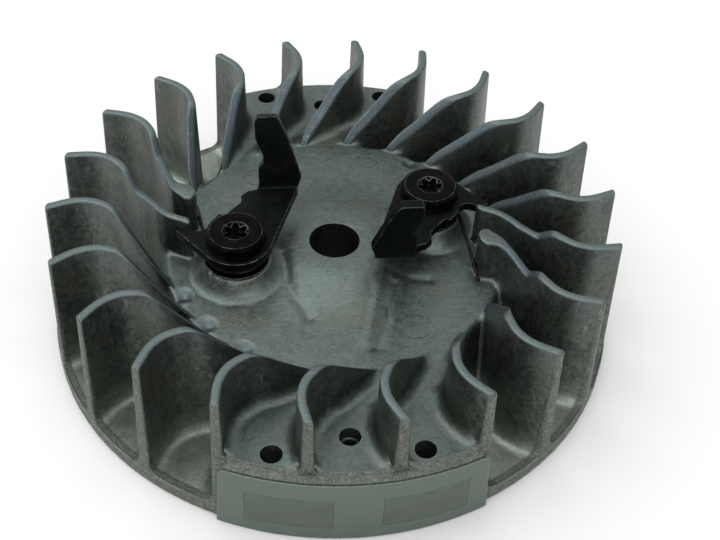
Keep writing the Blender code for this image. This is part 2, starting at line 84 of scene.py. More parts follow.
# ---- casting
FIN_COUNT = 22
FIN_PITCH = 2 * math.pi / FIN_COUNT
FIN_PHASE = math.radians(-0.7)
BOSS_CELLS = (9, 10, 11, 20, 21, 22)        # pockets whose floor is raised to the plate's height
TAIL_STOPS = (4, 15)
PAD_STOPS = (3, 14)
FIN_HEAD = ((62.5, 0.0), (57.0, -1.8), (53.0, -1.75), (50.0, -0.45), (48.0, 0.9))
FIN_PLAN = (*FIN_HEAD, (45.9, 3.0), (42.6, 5.9), (37.75, 9.8), (32.9, 11.9))
TAIL_STOP_PLAN = (*FIN_HEAD, (44.2, 3.7), (40.6, 5.9), (38.0, 7.8), (35.1, 9.2), (30.3, 10.1))
PAD_STOP_PLAN = (*FIN_HEAD, (43.8, 4.3), (39.2, 8.0), (36.1, 10.0), (33.4, 10.3), (30.3, 10.2))
TIP_R = 62.5
TIP_LEAN = 1.25             # how much further out the foot of a fin's tip is than its top
TIP_ROUND = 0.5             # rounding of a fin's outer end
TOP_HALF = 0.95             # half thickness of a fin at its top
DRAFT = 0.0133              # widening of a fin for each mm down
TOP_ROUND = 0.6
FOOT_FILLET = 2.4
STOP_FILLET = 0.9           # at the inner end of a stop
LEAST_FILLET = 0.3
FILLET_R = (35.0, 41.0)     # a stop's fillet grows to a fin's between these radii
ROOM = 0.47                 # of the pitch: how far a fin and its fillet may reach
BEAD_TURNS = (30, 60, 90)   # degrees round the edge of a fin's top
SHOULDER_R = 47.8
SHOULDER_ROUND = 1.5
SLOPE = 1.43
FADE = 0.3
FADE_R = (35.3, 37.4)       # plain fins are gone inside the first radius
LEVEL_R = (37.0, 41.0)      # inside this a plain fin's top follows the plate
GROWN_RISE = 1.0            # a fin lower than this blends into the floor under it
SCOOPS = (6, 7, 8, 17, 18, 19)      # pockets with a small hollow where the fin before them ends
SCOOP_R = 36.4
SCOOP_SHIFT = 0.32          # of the pitch, past the pocket's own fin
SCOOP_LENGTH = 3.1
SCOOP_REACH = (2.5, 2.6)    # inward and outward
SCOOP_DEPTH = 1.2
BOSS_EDGE_Z = 18.0          # top of the boss's outer wall
STOP_TOP = 29.05
STOP_END_R = 31.9
STOP_FOOT_R = 1.6           # the hollow foot at a stop's inner end
STOP_FOOT_RISE = 0.6
STOP_ROUND = 0.32           # half thickness at the very end of a stop, as a share
THINNING = 0.35             # of a plain fin's half thickness, inwards between these radii
THINNING_R = (36.5, 41.0)
OPEN_PLATE_R = 30.2         # no fin reaches inside this radius
PAD_STOP_EXTRA = 1.5        # the knob at the end of a pad's stop
PAD_STOP_R = (34.0, 38.5)
PLATE_Z = 18.6
HUB_Z = 20.9
HUB_LAND_R = 8.0
HUB_SLOPE = 20.0
RIM_Z = 3.4
BORE_TOP_R = 5.65
BORE_FOOT_R = 6.65
HUB_R = 11.5
HUB_FOOT_Z = 1.5
CEILING_Z = 12.4
RECESS_R = (36.8, 31.6)     # of the recess below the drum, at its mouth and at its ceiling
WALL_TOP = (38.27, PLATE_Z)         # where the drum's wall would meet the plate and the rim floor
WALL_FOOT = (41.7, RIM_Z)
WALL_TOP_ROUND = 1.8
WALL_FOOT_ROUND = 2.8
PAD_INNER_R = 7.3
PAD_OUTER_R = 10.9
PAD_HOLLOW = 1.9            # power of the pad's hollow flank
CREASES = (                 # soft valleys and ridges of the plate: height, half width, and points on the line
    (-0.45, 1.3, ((-11.6, -2.9), (-11.1, -11.9), (-10.0, -15.5), (-8.0, -18.7), (-7.1, -21.8))),
    (-0.5, 1.5, ((12.6, -13.0), (12.1, -15.2), (10.2, -19.7), (8.5, -25.3), (6.5, -30.7))),
    (0.25, 1.4, ((9.0, -14.0), (8.1, -18.1), (6.8, -23.3), (5.1, -29.5))),
    (-0.35, 1.1, ((12.0, -9.2), (15.6, -11.4), (20.2, -11.7))),
)
LEDGE_R = 62.2              # the rim floor has a small raised ledge outside this radius
LEDGE_HEIGHT = 0.3
RIM_EDGE = (                # radius, height and roughness, round the rim's trimmed edge
    (63.93, 3.32, 0.02), (RIM_R - 0.03, 3.1, 0.05), (RIM_R - 0.05, 2.15, 0.05), (RIM_R - 0.22, 1.95, 0.1),
    (RIM_R - 0.22, 1.8, 0.1), (RIM_R - 0.05, 1.6, 0.05), (RIM_R - 0.05, 0.35, 0.04),
    (RIM_R - 0.2, 0.08, 0.02), (RIM_R - 0.45, 0.0, 0.0),
)
FRONT_DROP = 0.75           # the magnet boss's pockets end in a small step at this radius
FRONT_EDGE_R = (61.7, 62.3)
BOSS_SPLIT = (FIN_TOP - PLATE_Z) / (FIN_TOP - RIM_Z)       # how far down the tips a boss's edge is
BOSS_WALL = (               # outer wall of a boss: share of the way down, radius and height
    (BOSS_SPLIT, 63.02, BOSS_EDGE_Z), (BOSS_SPLIT + 0.01, 63.2, BOSS_EDGE_Z - 0.08),
    (BOSS_SPLIT + 0.02, 63.31, BOSS_EDGE_Z - 0.3), (BOSS_SPLIT + 0.04, 63.36, BOSS_EDGE_Z - 0.9),
    (0.76, 63.5, 10.6), (1.0, TIP_R + TIP_LEAN, RIM_Z),
)
POLE_BASE_R = POLE_R - 6    # how far the magnet face's block reaches into the casting
POLE_MIDDLE = math.radians(-90.45)
POLE_HALF_ANGLE = math.radians(23.95)
POLE_FLARE = 1.04           # the magnet face is this much wider at its foot
POLE_CORNER = 1.3
POLE_PROFILE = (            # the turned magnet face, a thin groove above it, and a rough sloping band
    (POLE_BASE_R, 0.0), (POLE_R - 0.3, 0.0), (POLE_R - 0.08, 0.08), (POLE_R, 0.3), (POLE_R, 17.35),
    (POLE_R - 0.05, 17.48), (POLE_R - 0.14, 17.5), (POLE_R - 0.24, 17.2), (POLE_R - 0.42, 17.2),
    (POLE_R - 0.6, 17.6), (POLE_R - 1.2, 17.85), (POLE_R - 2.4, 18.15), (POLE_R - 2.9, 18.2),
    (POLE_BASE_R, 18.2),
)
HOLE_R = 2.15
HOLE_CHAMFER = 0.09
HOLES = ((59.5, -16.1), (54.0, -1.1), (59.5, 12.95))       # radius, and degrees from the boss's middle
MIDDLE_HOLE_R = 57.0        # only the middle hole is inside this radius
COUNTER_HOLE_FLOOR_Z = 6.0
STEP_Z = 15.4               # the middle front hole narrows below this
STEP_R = 1.8
THREAD_R = 2.7
SHOE_GAP = 0.05
MAGNET_GAP = 0.3
EJECTOR_MARKS = ((30.0, 301.3, 3.3), (32.6, 71.0, 2.5), (30.9, 124.0, 2.5))     # radius, degrees, size
EJECTOR_GROOVE = (0.22, 0.22)   # width and depth
BEAD_COLUMNS = (3.2, 4.2)   # points of a flank, counted from the fin's middle, where its bead ends
BEAD_R = (36.3, 37.3)       # beads begin between these radii
FLANK_POINTS = 4
FILLET_POINTS = 4
FLOOR_POINTS = 9
SIDE_POINTS = 2 + len(BEAD_TURNS) + FLANK_POINTS           # from a fin's middle down to its fillet
STATIONS = (                # stretches of radius, each with its number of rings
    (5.9, 10.5, 7), (10.5, 31.0, 44), (31.0, 35.5, 18), (35.5, 45.0, 30), (45.0, 51.0, 9),
    (51.0, 59.0, 8), (59.0, 61.0, 5), (61.0, 62.0, 6),
)

# ---- pawls, their screws, bushes and springs, about the left pawl's pivot
LOBE_R = 7.8
PAWL_HOLE_R = 4.8
PAWL_THICKNESS = 2.0
TAIL_TIP = (-12.7, 4.0)
TIP_BLUNT = ((0.0, 0.3), (-0.25, -0.2))
TAIL_NOTCH = ((-10.1, 4.35), (-8.9, 3.55), (-7.6, 3.6), (-6.4, 4.4), (-5.6, 6.4))
PAWL_BACK = ((-3.7, 8.9), (-2.4, 8.5), (1.3, 12.6), (1.35, 14.8), (2.9, 16.4), (4.9, 16.8))
BEND_Y = 17.05              # where the plate's top and the tab's inner face would meet
BEND_X = (5.5, 15.2)
TAB = ((5.5, 4.7), (6.6, 6.6), (6.7, 7.8), (4.95, 12.3), (4.95, 16.3), (5.6, 17.5), (9.6, 17.5),
       (10.3, 17.0), (12.2, 12.6), (15.2, 2.5))
BEND_ANGLE = math.radians(90.0 - 13.7)
BEND_INNER_R = 0.6
BEND_SHARPNESS = 0.7        # how far the outside of the bend is drawn out into a corner
BEND_REACH = BEND_INNER_R * math.tan(BEND_ANGLE / 2)
BEND_START_Y = BEND_Y - BEND_REACH
BEND_ARC = BEND_INNER_R * BEND_ANGLE
BEND_CUTS = 8
EDGE_ROUND = 0.2
CORNER_ROUND = 0.35         # of the pawl's outline
HEAD_R = 6.5
HEAD_FOOT_Z = 28.2
HEAD_FLAT_R = 5.7
SHANK_R = 2.5
SOCKET_R = 2.42
SOCKET_LOBE = 0.42
SOCKET_DEPTH = 2.0
MOUTH_DEPTH = 0.62          # of the cone where the socket opens
SOCKET_TURN = {"left": math.radians(30.0), "right": 0.0}
BUSH_HOLE_R = 2.8
SLEEVE_R = 4.45
FLANGE_THICKNESS = 0.3
WIRE_R = 0.38
COIL_R = 6.3
COIL_TOP_Z = 25.2
COIL_FOOT_Z = 24.0
COIL_TURNS = 1.75
COIL_END = math.radians(187.3)
COIL_STEPS = 64
HOOK_END = (-3.9, 7.6, COIL_TOP_Z)
LEG_KNEE = (-7.1, 6.5, 23.75)
LEG_END = (-8.9, 20.2, 19.95)

# ---- looks
# pairs are a dark and a light colour
# upward faces get the first pair, painted lighter, and upright faces the second, painted darker: painted
# light and shade by facing
UPWARD_LIT_COLORS = ((0.105, 0.136, 0.126), (0.165, 0.207, 0.193))
SIDE_SHADED_COLORS = ((0.07, 0.083, 0.075), (0.142, 0.158, 0.138))
SKIN_COLORS = ((0.118, 0.133, 0.112), (0.195, 0.218, 0.19))
POLE_COLORS = ((0.105, 0.127, 0.108), (0.135, 0.163, 0.14))
SCREW_COLORS = ((0.0028, 0.0034, 0.0037), (0.0088, 0.008, 0.0065))
PAWL_COLORS = ((0.0072, 0.0098, 0.009), (0.0105, 0.0125, 0.011))
WIRE_COLORS = ((0.010, 0.0098, 0.0095), (0.032, 0.026, 0.017))
MAGNET_COLORS = ((0.05, 0.05, 0.055), (0.11, 0.11, 0.12))
# painted light: a lighter colour for the low floors near the rim
LOW_FLOOR_PAINTED_LIGHT = (0.31, 0.35, 0.308)
CAST_BROWN = (0.128, 0.12, 0.088)
# painted reflection: blue-grey on fin beads; the darker blue below is painted reflection on bead slopes and
# painted shade in the small hollows
BEAD_PAINTED_REFLECTION = (0.15, 0.19, 0.195)
SHADE_AND_REFLECTION_BLUE = (0.098, 0.13, 0.142)
# used for real scratches and for the painted highlight along edges
CAST_SCRATCH_AND_HIGHLIGHT = (0.4, 0.44, 0.42)
BORE_PAINTED_SHADE = (0.055, 0.058, 0.053)
TURNED_FACE = (0.135, 0.173, 0.148)
POLE_SPOT = (0.03, 0.032, 0.03)
BLACK_WORN = (0.035, 0.037, 0.036)
BLACK_EDGE_WEAR_AND_HIGHLIGHT = (0.4, 0.42, 0.41)
FLOOR_PALE = (0.93, 0.93, 0.93)

# ---- studio
TARGET = Vector((6.05, -0.76, 11.78))
VIEW_AZIMUTH = math.radians(7.2)
VIEW_ELEVATION = math.radians(44.21)
VIEW_DISTANCE = 272.0
VIEW_ROLL = math.radians(2.75)
LENS = 58.7
FLOOR_Z = -0.2
WORLD_BRIGHT_SIDE = (-0.6, 0.0, 0.8)
WORLD_STRENGTH = (0.4, 0.85)
WHITE = (1.0, 1.0, 1.0, 1.0)
LIGHT_TARGET = Vector((0.0, 0.0, 0.015))
LIGHTS = {                  # place and size in metres, power in watts
    "key": ((-0.45, 0.15, 0.75), (0.9, 0.9), 2.7),
    "top": ((0.1, 0.0, 0.9), (0.9, 0.9), 1.5),
    "front": ((0.3, -0.7, 0.5), (0.6, 0.4), 1.4),
}


def smoothstep(low, high, value):
    t = np.clip((value - low) / (high - low), 0.0, 1.0)
    return t * t * (3 - 2 * t)


def soft_min(a, b, width):
    return 0.5 * (a + b - np.sqrt((a - b) ** 2 + width ** 2))


def soft_max(a, b, width):
    return -soft_min(-a, -b, width)


def fin_curve(points, per_span=40):
    """A smooth curve through a fin's points seen from above, as radii and angles, from the inside out."""
    pts = np.array(points, float)
    pts = np.vstack([2 * pts[0] - pts[1], pts, 2 * pts[-1] - pts[-2]])
    t = np.linspace(0, 1, per_span, endpoint=False)[:, None]
    spans = []
    for i in range(1, len(pts) - 2):
        a, b, c, d = pts[i - 1:i + 3]
        spans.append(0.5 * (2 * b + (c - a) * t + (2 * a - 5 * b + 4 * c - d) * t ** 2
                            + (3 * b - a - 3 * c + d) * t ** 3))
    x, y = np.vstack([*spans, pts[-2]])[::-1].T
    return np.hypot(x, y), np.arctan2(y, x)


PLANS = {"fin": fin_curve(FIN_PLAN), "tail": fin_curve(TAIL_STOP_PLAN), "pad": fin_curve(PAD_STOP_PLAN)}


def fin_kind(number):
    number = (number - 1) % FIN_COUNT + 1
    return "tail" if number in TAIL_STOPS else "pad" if number in PAD_STOPS else "fin"


def fin_angle(number):
    return -math.pi / 2 + FIN_PHASE + (number - 10.5) * FIN_PITCH


def line_distance(x, y, line):
    """Distance of each point to a broken line."""
    nearest = np.full(np.shape(x), 1e3)
    for (ax, ay), (bx, by) in zip(line, line[1:]):
        dx, dy = bx - ax, by - ay
        share = np.clip(((x - ax) * dx + (y - ay) * dy) / (dx * dx + dy * dy), 0.0, 1.0)
        nearest = np.minimum(nearest, np.hypot(x - ax - share * dx, y - ay - share * dy))
    return nearest


def plate_height(x, y):
    """The plate that closes the drum, with the hub at its middle and the two pawl pads."""
    radius = np.hypot(x, y)
    fall = np.clip((radius - HUB_LAND_R) / HUB_SLOPE, 0.0, 1.0)
    height = PLATE_Z + (HUB_Z - PLATE_Z) * (1 - fall) ** 3 * (1 + 3 * fall)
    for rise, width, line in CREASES:
        height = height + rise * np.exp(-(line_distance(x, y, line) / width) ** 2)
    for sign in (1, -1):
        distance = np.hypot(x - sign * LEFT_PIVOT.x, y - sign * LEFT_PIVOT.y)
        share = np.clip((PAD_OUTER_R - distance) / (PAD_OUTER_R - PAD_INNER_R), 0.0, 1.0)
        height = height + (PAD_TOP - height) * share ** PAD_HOLLOW
    near_scoops = abs(float(np.max(radius)) - SCOOP_R) < SCOOP_REACH[0]     # a ring has one radius
    for number in SCOOPS if near_scoops else ():
        middle = fin_angle(number + SCOOP_SHIFT)
        beyond = radius * np.cos(np.arctan2(y, x) - middle) > 0
        aside = (y * math.cos(middle) - x * math.sin(middle)) / SCOOP_LENGTH
        inward = SCOOP_R - radius
        away = np.hypot(aside, inward / np.where(inward > 0, *SCOOP_REACH))
        growing = smoothstep(-0.9, 0.4, aside)
        height = height - SCOOP_DEPTH * (1 - smoothstep(0.2, 1.0, away)) * growing * beyond
    return height


def rounded_corner(before, corner, after, radius, steps=8):
    """Arc that rounds a corner of a profile."""
    corner = Vector(corner)
    u = (Vector(before) - corner).normalized()
    v = (Vector(after) - corner).normalized()
    half = u.angle(v) / 2
    centre = corner + (u + v).normalized() * radius / math.sin(half)
    start = corner + u * radius / math.tan(half) - centre
    end = corner + v * radius / math.tan(half) - centre
    return [tuple(centre + start.slerp(end, i / steps).normalized() * radius) for i in range(steps + 1)]


def drum_profile():
    """Radius and height of a low pocket's floor: plate, rounded edge, wall, fillet, rim floor."""
    inner, outer = (20.0, PLATE_Z), (RIM_R + 2, RIM_Z)
    points = [inner, *rounded_corner(inner, WALL_TOP, WALL_FOOT, WALL_TOP_ROUND)]
    points += [*rounded_corner(WALL_TOP, WALL_FOOT, outer, WALL_FOOT_ROUND), outer]
    return np.array(points)


DRUM = drum_profile()


def pocket_floor(radius, angle, is_boss, corner=0.0):
    """Height of a pocket's floor. The corner term pulls the drum's wall out beside the fins."""
    height = plate_height(radius * np.cos(angle), radius * np.sin(angle))
    if is_boss:
        return height - FRONT_DROP * smoothstep(*FRONT_EDGE_R, radius + corner) * (np.sin(angle) < 0)
    drop = PLATE_Z - np.interp(radius - corner, DRUM[:, 0], DRUM[:, 1])
    return height - drop + LEDGE_HEIGHT * smoothstep(LEDGE_R, LEDGE_R + 0.35, radius)


def fin_top(kind, radius):
    """Height of a fin's top edge. A stop ends in a rounded corner and a small hollow foot."""
    height = soft_min(FIN_TOP, FIN_TOP - SLOPE * (SHOULDER_R - radius), SHOULDER_ROUND)
    if kind == "fin":
        rise = height - PLATE_Z
        rise = 0.5 * (rise + math.sqrt(rise ** 2 + FADE ** 2))
        return PLATE_Z + rise * float(smoothstep(*FADE_R, radius))
    height = soft_max(height, STOP_TOP, 0.5)
    inside = STOP_END_R - radius
    if inside > 0:
        depth = max(0.0, STOP_FOOT_R - inside)
        return PLATE_Z + (STOP_FOOT_R - math.sqrt(STOP_FOOT_R ** 2 - depth ** 2)) * STOP_FOOT_RISE
    short = max(0.0, TOP_ROUND + inside)
    return height - TOP_ROUND + math.sqrt(TOP_ROUND ** 2 - short ** 2)


def fin_half(kind, radius):
    """Half thickness of a fin at its top."""
    if kind == "fin":
        return TOP_HALF - THINNING * (1 - float(smoothstep(*THINNING_R, radius)))
    extra = PAD_STOP_EXTRA if kind == "pad" else 0.0
    end = TOP_HALF + extra
    along = (radius - STOP_END_R) / end
    if along >= 1:
        return TOP_HALF + extra * float(np.interp(radius, PAD_STOP_R, (1.0, 0.0)))
    return end * max(STOP_ROUND, math.sqrt(max(0.0, 1 - (1 - max(0.0, along)) ** 2)))


def fin_side(number, radius, is_boss, inset, sign):
    """Angles and heights down one flank of a fin, from its middle to the end of the fillet at its foot."""
    kind = fin_kind(number)
    inner, here, outer = np.interp((radius - 0.3, radius, radius + 0.3), *PLANS[kind])
    stretch = math.hypot(1.0, (outer - inner) / 0.6 * radius)       # the fin leans across the radius
    angle = fin_angle(number) + here
    level = float(plate_height(radius * math.cos(angle), radius * math.sin(angle)))
    top = fin_top(kind, radius) - inset
    widest = FOOT_FILLET
    if kind == "fin":
        top += (level - PLATE_Z) * (1 - float(smoothstep(*LEVEL_R, radius)))
    else:
        widest = STOP_FILLET + (FOOT_FILLET - STOP_FILLET) * float(smoothstep(*FILLET_R, radius))
    top = max(top, level)
    half = fin_half(kind, radius) - inset
    room = ROOM * FIN_PITCH * radius / stretch
    foot_half = half + DRAFT * max(0.0, top - (PLATE_Z if is_boss else RIM_Z))
    fillet = max(LEAST_FILLET, min(widest, room - foot_half))
    foot = float(pocket_floor(radius, angle, is_boss, fillet))
    rise = max(0.0, top - foot)
    fillet_up = min(fillet, 0.45 * rise)
    across = min(TOP_ROUND, half * 0.75)
    down = min(across, 0.25 * rise)
    foot_half = half + max(DRAFT * rise, 0.08)
    points = [(0.0, top, fillet), (half - across, top, fillet)]
    for turn in np.radians(BEAD_TURNS):
        points.append((half - across + across * math.sin(turn), top - down * (1 - math.cos(turn)), fillet))
    for share in np.arange(1, FLANK_POINTS + 1) / FLANK_POINTS:
        height = top - down + (foot + fillet_up - top + down) * share
        points.append((half + (foot_half - half) * share, height, fillet))
    for turn in math.pi / 2 * np.arange(1, FILLET_POINTS + 1) / FILLET_POINTS:
        left = 1 - math.sin(turn)
        points.append((foot_half + fillet * (1 - math.cos(turn)), fillet_up * left, fillet * left))
    offsets, heights, corners = np.array(points).T
    angles = angle + sign * offsets * stretch / radius
    floor = pocket_floor(radius, angles, is_boss, corners)
    heights[-FILLET_POINTS:] += floor[-FILLET_POINTS:]
    grown = smoothstep(0.0, GROWN_RISE, rise)
    return angles, floor + (np.maximum(heights, floor) - floor) * grown


def cell_section(number, radius, inset):
    """Angles and heights across one pocket, from one fin's middle to just before the next one's."""
    is_boss = number in BOSS_CELLS
    a0, z0 = fin_side(number, radius, is_boss, inset, 1)
    a1, z1 = fin_side(number + 1, radius, is_boss, inset, -1)
    angles = np.linspace(a0[-1], a1[-1], FLOOR_POINTS + 2)[1:-1]
    floor = pocket_floor(radius, angles, is_boss)
    return np.concatenate([a0, angles, a1[:0:-1]]), np.concatenate([z0, floor, z1[:0:-1]])


def ring_section(radius, inset=0.0):
    """One closed ring of points through all pockets: radii, angles and heights."""
    cells = [cell_section(number, radius, inset) for number in range(1, FIN_COUNT + 1)]
    angles = np.concatenate([cell[0] for cell in cells])
    heights = np.concatenate([cell[1] for cell in cells])
    if radius < OPEN_PLATE_R:
        even = angles[0] + 2 * math.pi * np.arange(len(angles)) / len(angles)
        angles = even + (angles - even) * float(smoothstep(OPEN_PLATE_R - 14.0, OPEN_PLATE_R, radius))
        heights = plate_height(radius * np.cos(angles), radius * np.sin(angles))
    lean = TIP_LEAN * (FIN_TOP - heights) / (FIN_TOP - RIM_Z)
    radii = radius + lean * smoothstep(54.0, TIP_R, radius)
    return radii, angles, heights


def tip_sections():
    """Rings that close the fins' outer ends and bring every pocket's floor down to the rim's edge."""
    radii, angles, heights = ring_section(TIP_R, TIP_ROUND)
    columns = len(angles) // FIN_COUNT
    cell, column = np.divmod(np.arange(len(angles)), columns)
    from_fin = np.minimum(column, columns - column)
    is_right = column >= columns // 2
    middle = fin_angle(cell + 1 + is_right)
    foot = cell * columns + np.where(is_right, columns - SIDE_POINTS + 1, SIDE_POINTS - 1)
    spread = np.minimum(1.0, from_fin / (SIDE_POINTS - 1))
    end_angles = np.where(from_fin < SIDE_POINTS, middle + (angles[foot] - middle) * spread, angles)
    is_boss = np.isin(cell + 1, BOSS_CELLS) & (column > 0)
    steps = [(BOSS_SPLIT * share, *BOSS_WALL[0][1:]) for share in (0.0, 0.25, 0.5, 0.75)]
    rings = []
    for share, edge_r, edge_z in (*steps, *BOSS_WALL):
        way = np.where(is_boss, min(1.0, share / BOSS_SPLIT), share)
        end_r = np.where(is_boss, edge_r, TIP_R + TIP_LEAN)
        end_z = np.where(is_boss, edge_z, RIM_Z)
        rings.append((radii + (end_r - radii) * way, angles + (end_angles - angles) * way,
                      heights + (end_z - heights) * way))
    return rings


def rim_wave(angles, size):
    """A small irregular wave round the rim, as on a trimmed casting edge."""
    wave = np.sin(angles * 37 + 1.3) + np.sin(angles * 91 + 0.4) + 0.7 * np.sin(angles * 173)
    return size * wave / 2.7


def station_radii():
    """Radii of the rings across the plate and the fins: close where the shape is busy."""
    radii = [STOP_END_R, STOP_END_R - 0.12]
    for low, high, count in STATIONS:
        radii += list(np.linspace(low, high, count, endpoint=False))
    return sorted(radii)


def underside_profile():
    """Radius and height, from the rim's foot through the recess and round the hub to the bore's mouth."""
    mouth_r, ceiling_r = RECESS_R
    hub_side = (HUB_R + 0.3, CEILING_Z)
    bore_foot, bore_top = (BORE_FOOT_R, HUB_FOOT_Z), (BORE_TOP_R, HUB_Z)
    profile = [(radius, 0.0) for radius in (60.0, 55.0, 50.0, 45.0, 41.0, 37.8)]
    profile += rounded_corner((45.0, 0.0), (mouth_r, 0.0), (32.0, 11.0), 0.6, 4)
    profile += rounded_corner((mouth_r, 0.0), (ceiling_r, CEILING_Z), (14.0, CEILING_Z), 2.2, 6)
    profile += [(radius, CEILING_Z) for radius in (27.0, 23.0, 19.0, 16.0)]
    profile += rounded_corner((16.0, CEILING_Z), hub_side, (HUB_R, 2.0), 1.5, 5)
    profile += rounded_corner(hub_side, (HUB_R, HUB_FOOT_Z), (7.0, HUB_FOOT_Z), 0.5, 3)
    profile += rounded_corner((HUB_R, HUB_FOOT_Z), bore_foot, bore_top, 0.3, 3)
    shares = np.arange(1, 8) / 8
    profile += list(zip(np.interp(shares, (0, 1), (BORE_FOOT_R, BORE_TOP_R)),
                        np.interp(shares, (0, 1), (HUB_FOOT_Z, HUB_Z))))
    return profile + rounded_corner(bore_foot, bore_top, (9.0, HUB_Z), 0.18, 3)


def casting_rings():
    """All rings of the casting, in order: over the top, round the rim, underneath and up the bore."""
    rings = [ring_section(radius) for radius in station_radii()]
    for share in (0.0, 0.5, 0.8, 0.95):
        inset = TIP_ROUND * (1 - math.sqrt(1 - share ** 2))
        rings.append(ring_section(TIP_R - TIP_ROUND * (1 - share), inset))
    rings += tip_sections()
    inner, outer = rings[0][1], rings[-1][1]
    for radius, height, rough in RIM_EDGE:
        rings.append((radius + rim_wave(outer, rough) - rough, outer, np.full(len(outer), height)))
    for radius, height in underside_profile():
        turned_back = float(1 - smoothstep(40.0, 61.0, radius))
        angles = outer + (inner - outer) * turned_back
        rings.append((np.full(len(angles), radius), angles, np.full(len(angles), height)))
    return rings


def grid_mesh(name, rings):
    """A closed mesh through rings of equal length, joined last to first."""
    columns, rows = len(rings[0][0]), len(rings)
    coords = np.array([np.stack([r * np.cos(a), r * np.sin(a), z], axis=1) for r, a, z in rings])
    coords = coords.reshape(-1, 3) * MM
    i, j = np.meshgrid(np.arange(rows), np.arange(columns), indexing="ij")
    k, m = (i + 1) % rows, (j + 1) % columns
    faces = np.stack([i * columns + j, k * columns + j, k * columns + m, i * columns + m], axis=-1)
    mesh = bpy.data.meshes.new(name)
    mesh.from_pydata(coords.tolist(), [], faces.reshape(-1, 4).tolist())
    mesh.validate()
    return link(name, mesh)


# ---- shapes shared by several pieces

def link(name, data):
    obj = bpy.data.objects.new(name, data)
    bpy.context.scene.collection.objects.link(obj)
    return obj


def polar(radius, angle):
    return (radius * math.cos(angle), radius * math.sin(angle))


def skin(solid, rings, ends):
    """Joins rings of vertices by faces. A ring may be one point. The ends are capped, joined or open."""
    count = max(len(ring) for ring in rings)
    for a, b in zip(rings, rings[1:] + (rings[:1] if ends == "joined" else [])):
        for i in range(count):
            j = (i + 1) % count
            corners = (a[i % len(a)], b[i % len(b)], b[j % len(b)], a[j % len(a)])
            corners = list(dict.fromkeys(corners))
            if len(corners) > 2:
                solid.faces.new(corners)
    if ends == "capped":
        solid.faces.new(rings[0])
        solid.faces.new(rings[-1])


def finished(name, solid, matrix=None):
    """Turns a bmesh into an object, with its faces pointing out."""
    bmesh.ops.recalc_face_normals(solid, faces=solid.faces)
    if matrix:
        bmesh.ops.transform(solid, matrix=matrix, verts=solid.verts)
    mesh = bpy.data.meshes.new(name)
    solid.to_mesh(mesh)
    solid.free()
    return link(name, mesh)


def turned(name, profile, steps=64, centre=(0.0, 0.0)):
    """A solid of revolution. The profile is (radius, height), down its outer side; axis points are shared."""
    solid = bmesh.new()
    rings = []
    for radius, height in profile:
        count = steps if radius > 0 else 1
        spots = [polar(radius, 2 * math.pi * i / count) for i in range(count)]
        rings.append([solid.verts.new(((centre[0] + x) * MM, (centre[1] + y) * MM, height * MM))
                      for x, y in spots])
    skin(solid, rings, "joined" if profile[0][0] > 0 else "open")
    return finished(name, solid)


def prism(name, outline, low, high):
    """An upright prism with the outline's points in mm."""
    solid = bmesh.new()
    rings = [[solid.verts.new((x * MM, y * MM, z * MM)) for x, y in outline] for z in (low, high)]
    skin(solid, rings, "capped")
    return finished(name, solid)


def bevel(obj, width):
    """Rounds the sharp edges of an object for good."""
    modifier = obj.modifiers.new("bevel", "BEVEL")
    modifier.width = width * MM
    modifier.segments = 2
    modifier.limit_method = "ANGLE"
    modifier.angle_limit = math.radians(30)
    bake(obj)


def bake(obj):
    """Applies an object's modifiers to its mesh."""
    bpy.context.view_layer.update()
    evaluated = obj.evaluated_get(bpy.context.evaluated_depsgraph_get())
    mesh = bpy.data.meshes.new_from_object(evaluated)
    obj.modifiers.clear()
    obj.data = mesh


def combine(obj, others, operation):
    """Joins or cuts an object with others, which are then removed."""
    for other in others:
        modifier = obj.modifiers.new(other.name, "BOOLEAN")
        modifier.operation = operation
        modifier.object = other
        modifier.solver = "MANIFOLD"
    bake(obj)
    for other in others:
        bpy.data.objects.remove(other, do_unlink=True)


def shade(obj, degrees=38):
    obj.data.shade_smooth()
    obj.data.set_sharp_from_angle(angle=math.radians(degrees))


def dress(obj, material):
    obj.data.materials.clear()
    obj.data.materials.append(material)


def place(obj, body, slot, material, *nodes):
    """Gives a finished piece its body and its material, and hides the CAD nodes that it stands for. The slot
    is not used.
    """
    dress(obj, material)
    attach(obj, body)
    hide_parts(*nodes)


# ---- casting

def pole_block():
    """The magnet face: its profile swept round part of a ring, with rounded outer top corners."""
    start, end = POLE_MIDDLE - POLE_HALF_ANGLE, POLE_MIDDLE + POLE_HALF_ANGLE
    turn = POLE_CORNER / POLE_R
    angles = list(np.linspace(start, end, 64))
    for share in (0.02, 0.08, 0.2, 0.38, 0.6, 0.8):
        angles += [start + turn * share, end - turn * share]
    solid = bmesh.new()
    sections = []
    for angle in sorted(angles):
        to_end = max(0.0, POLE_CORNER - POLE_R * min(angle - start, end - angle))
        drop = POLE_CORNER - math.sqrt(max(0.0, POLE_CORNER ** 2 - to_end ** 2))
        section = []
        for radius, height in POLE_PROFILE:
            is_top = height > PLATE_Z / 2
            x, y = polar(radius, POLE_MIDDLE + (angle - POLE_MIDDLE) * (1.0 if is_top else POLE_FLARE))
            level = height - drop if is_top else height
            section.append(solid.verts.new((x * MM, y * MM, level * MM)))
        sections.append(section)
    skin(solid, sections, "capped")
    return finished("pole_block", solid)


def shoe_outline(side, grow=0.0):
    """A pole shoe from above: an arc of the magnet face, and a flat back."""
    back = SHOE_HIGH.y + grow
    right_edge = math.atan2(-math.sqrt(POLE_R ** 2 - SHOE_HIGH.x ** 2), SHOE_HIGH.x) + grow / POLE_R
    left_edge = math.atan2(SHOE_HIGH.y, SHOE_LOW.x) - grow / abs(SHOE_HIGH.y)
    radius = POLE_R + (1.0 if grow else 0.0)
    outline = [polar(radius, angle) for angle in np.linspace(left_edge, right_edge, 25)]
    outline += [(x * back / y, back) for x, y in (outline[-1], outline[0])]
    return outline if side > 0 else [(-x, y) for x, y in outline][::-1]


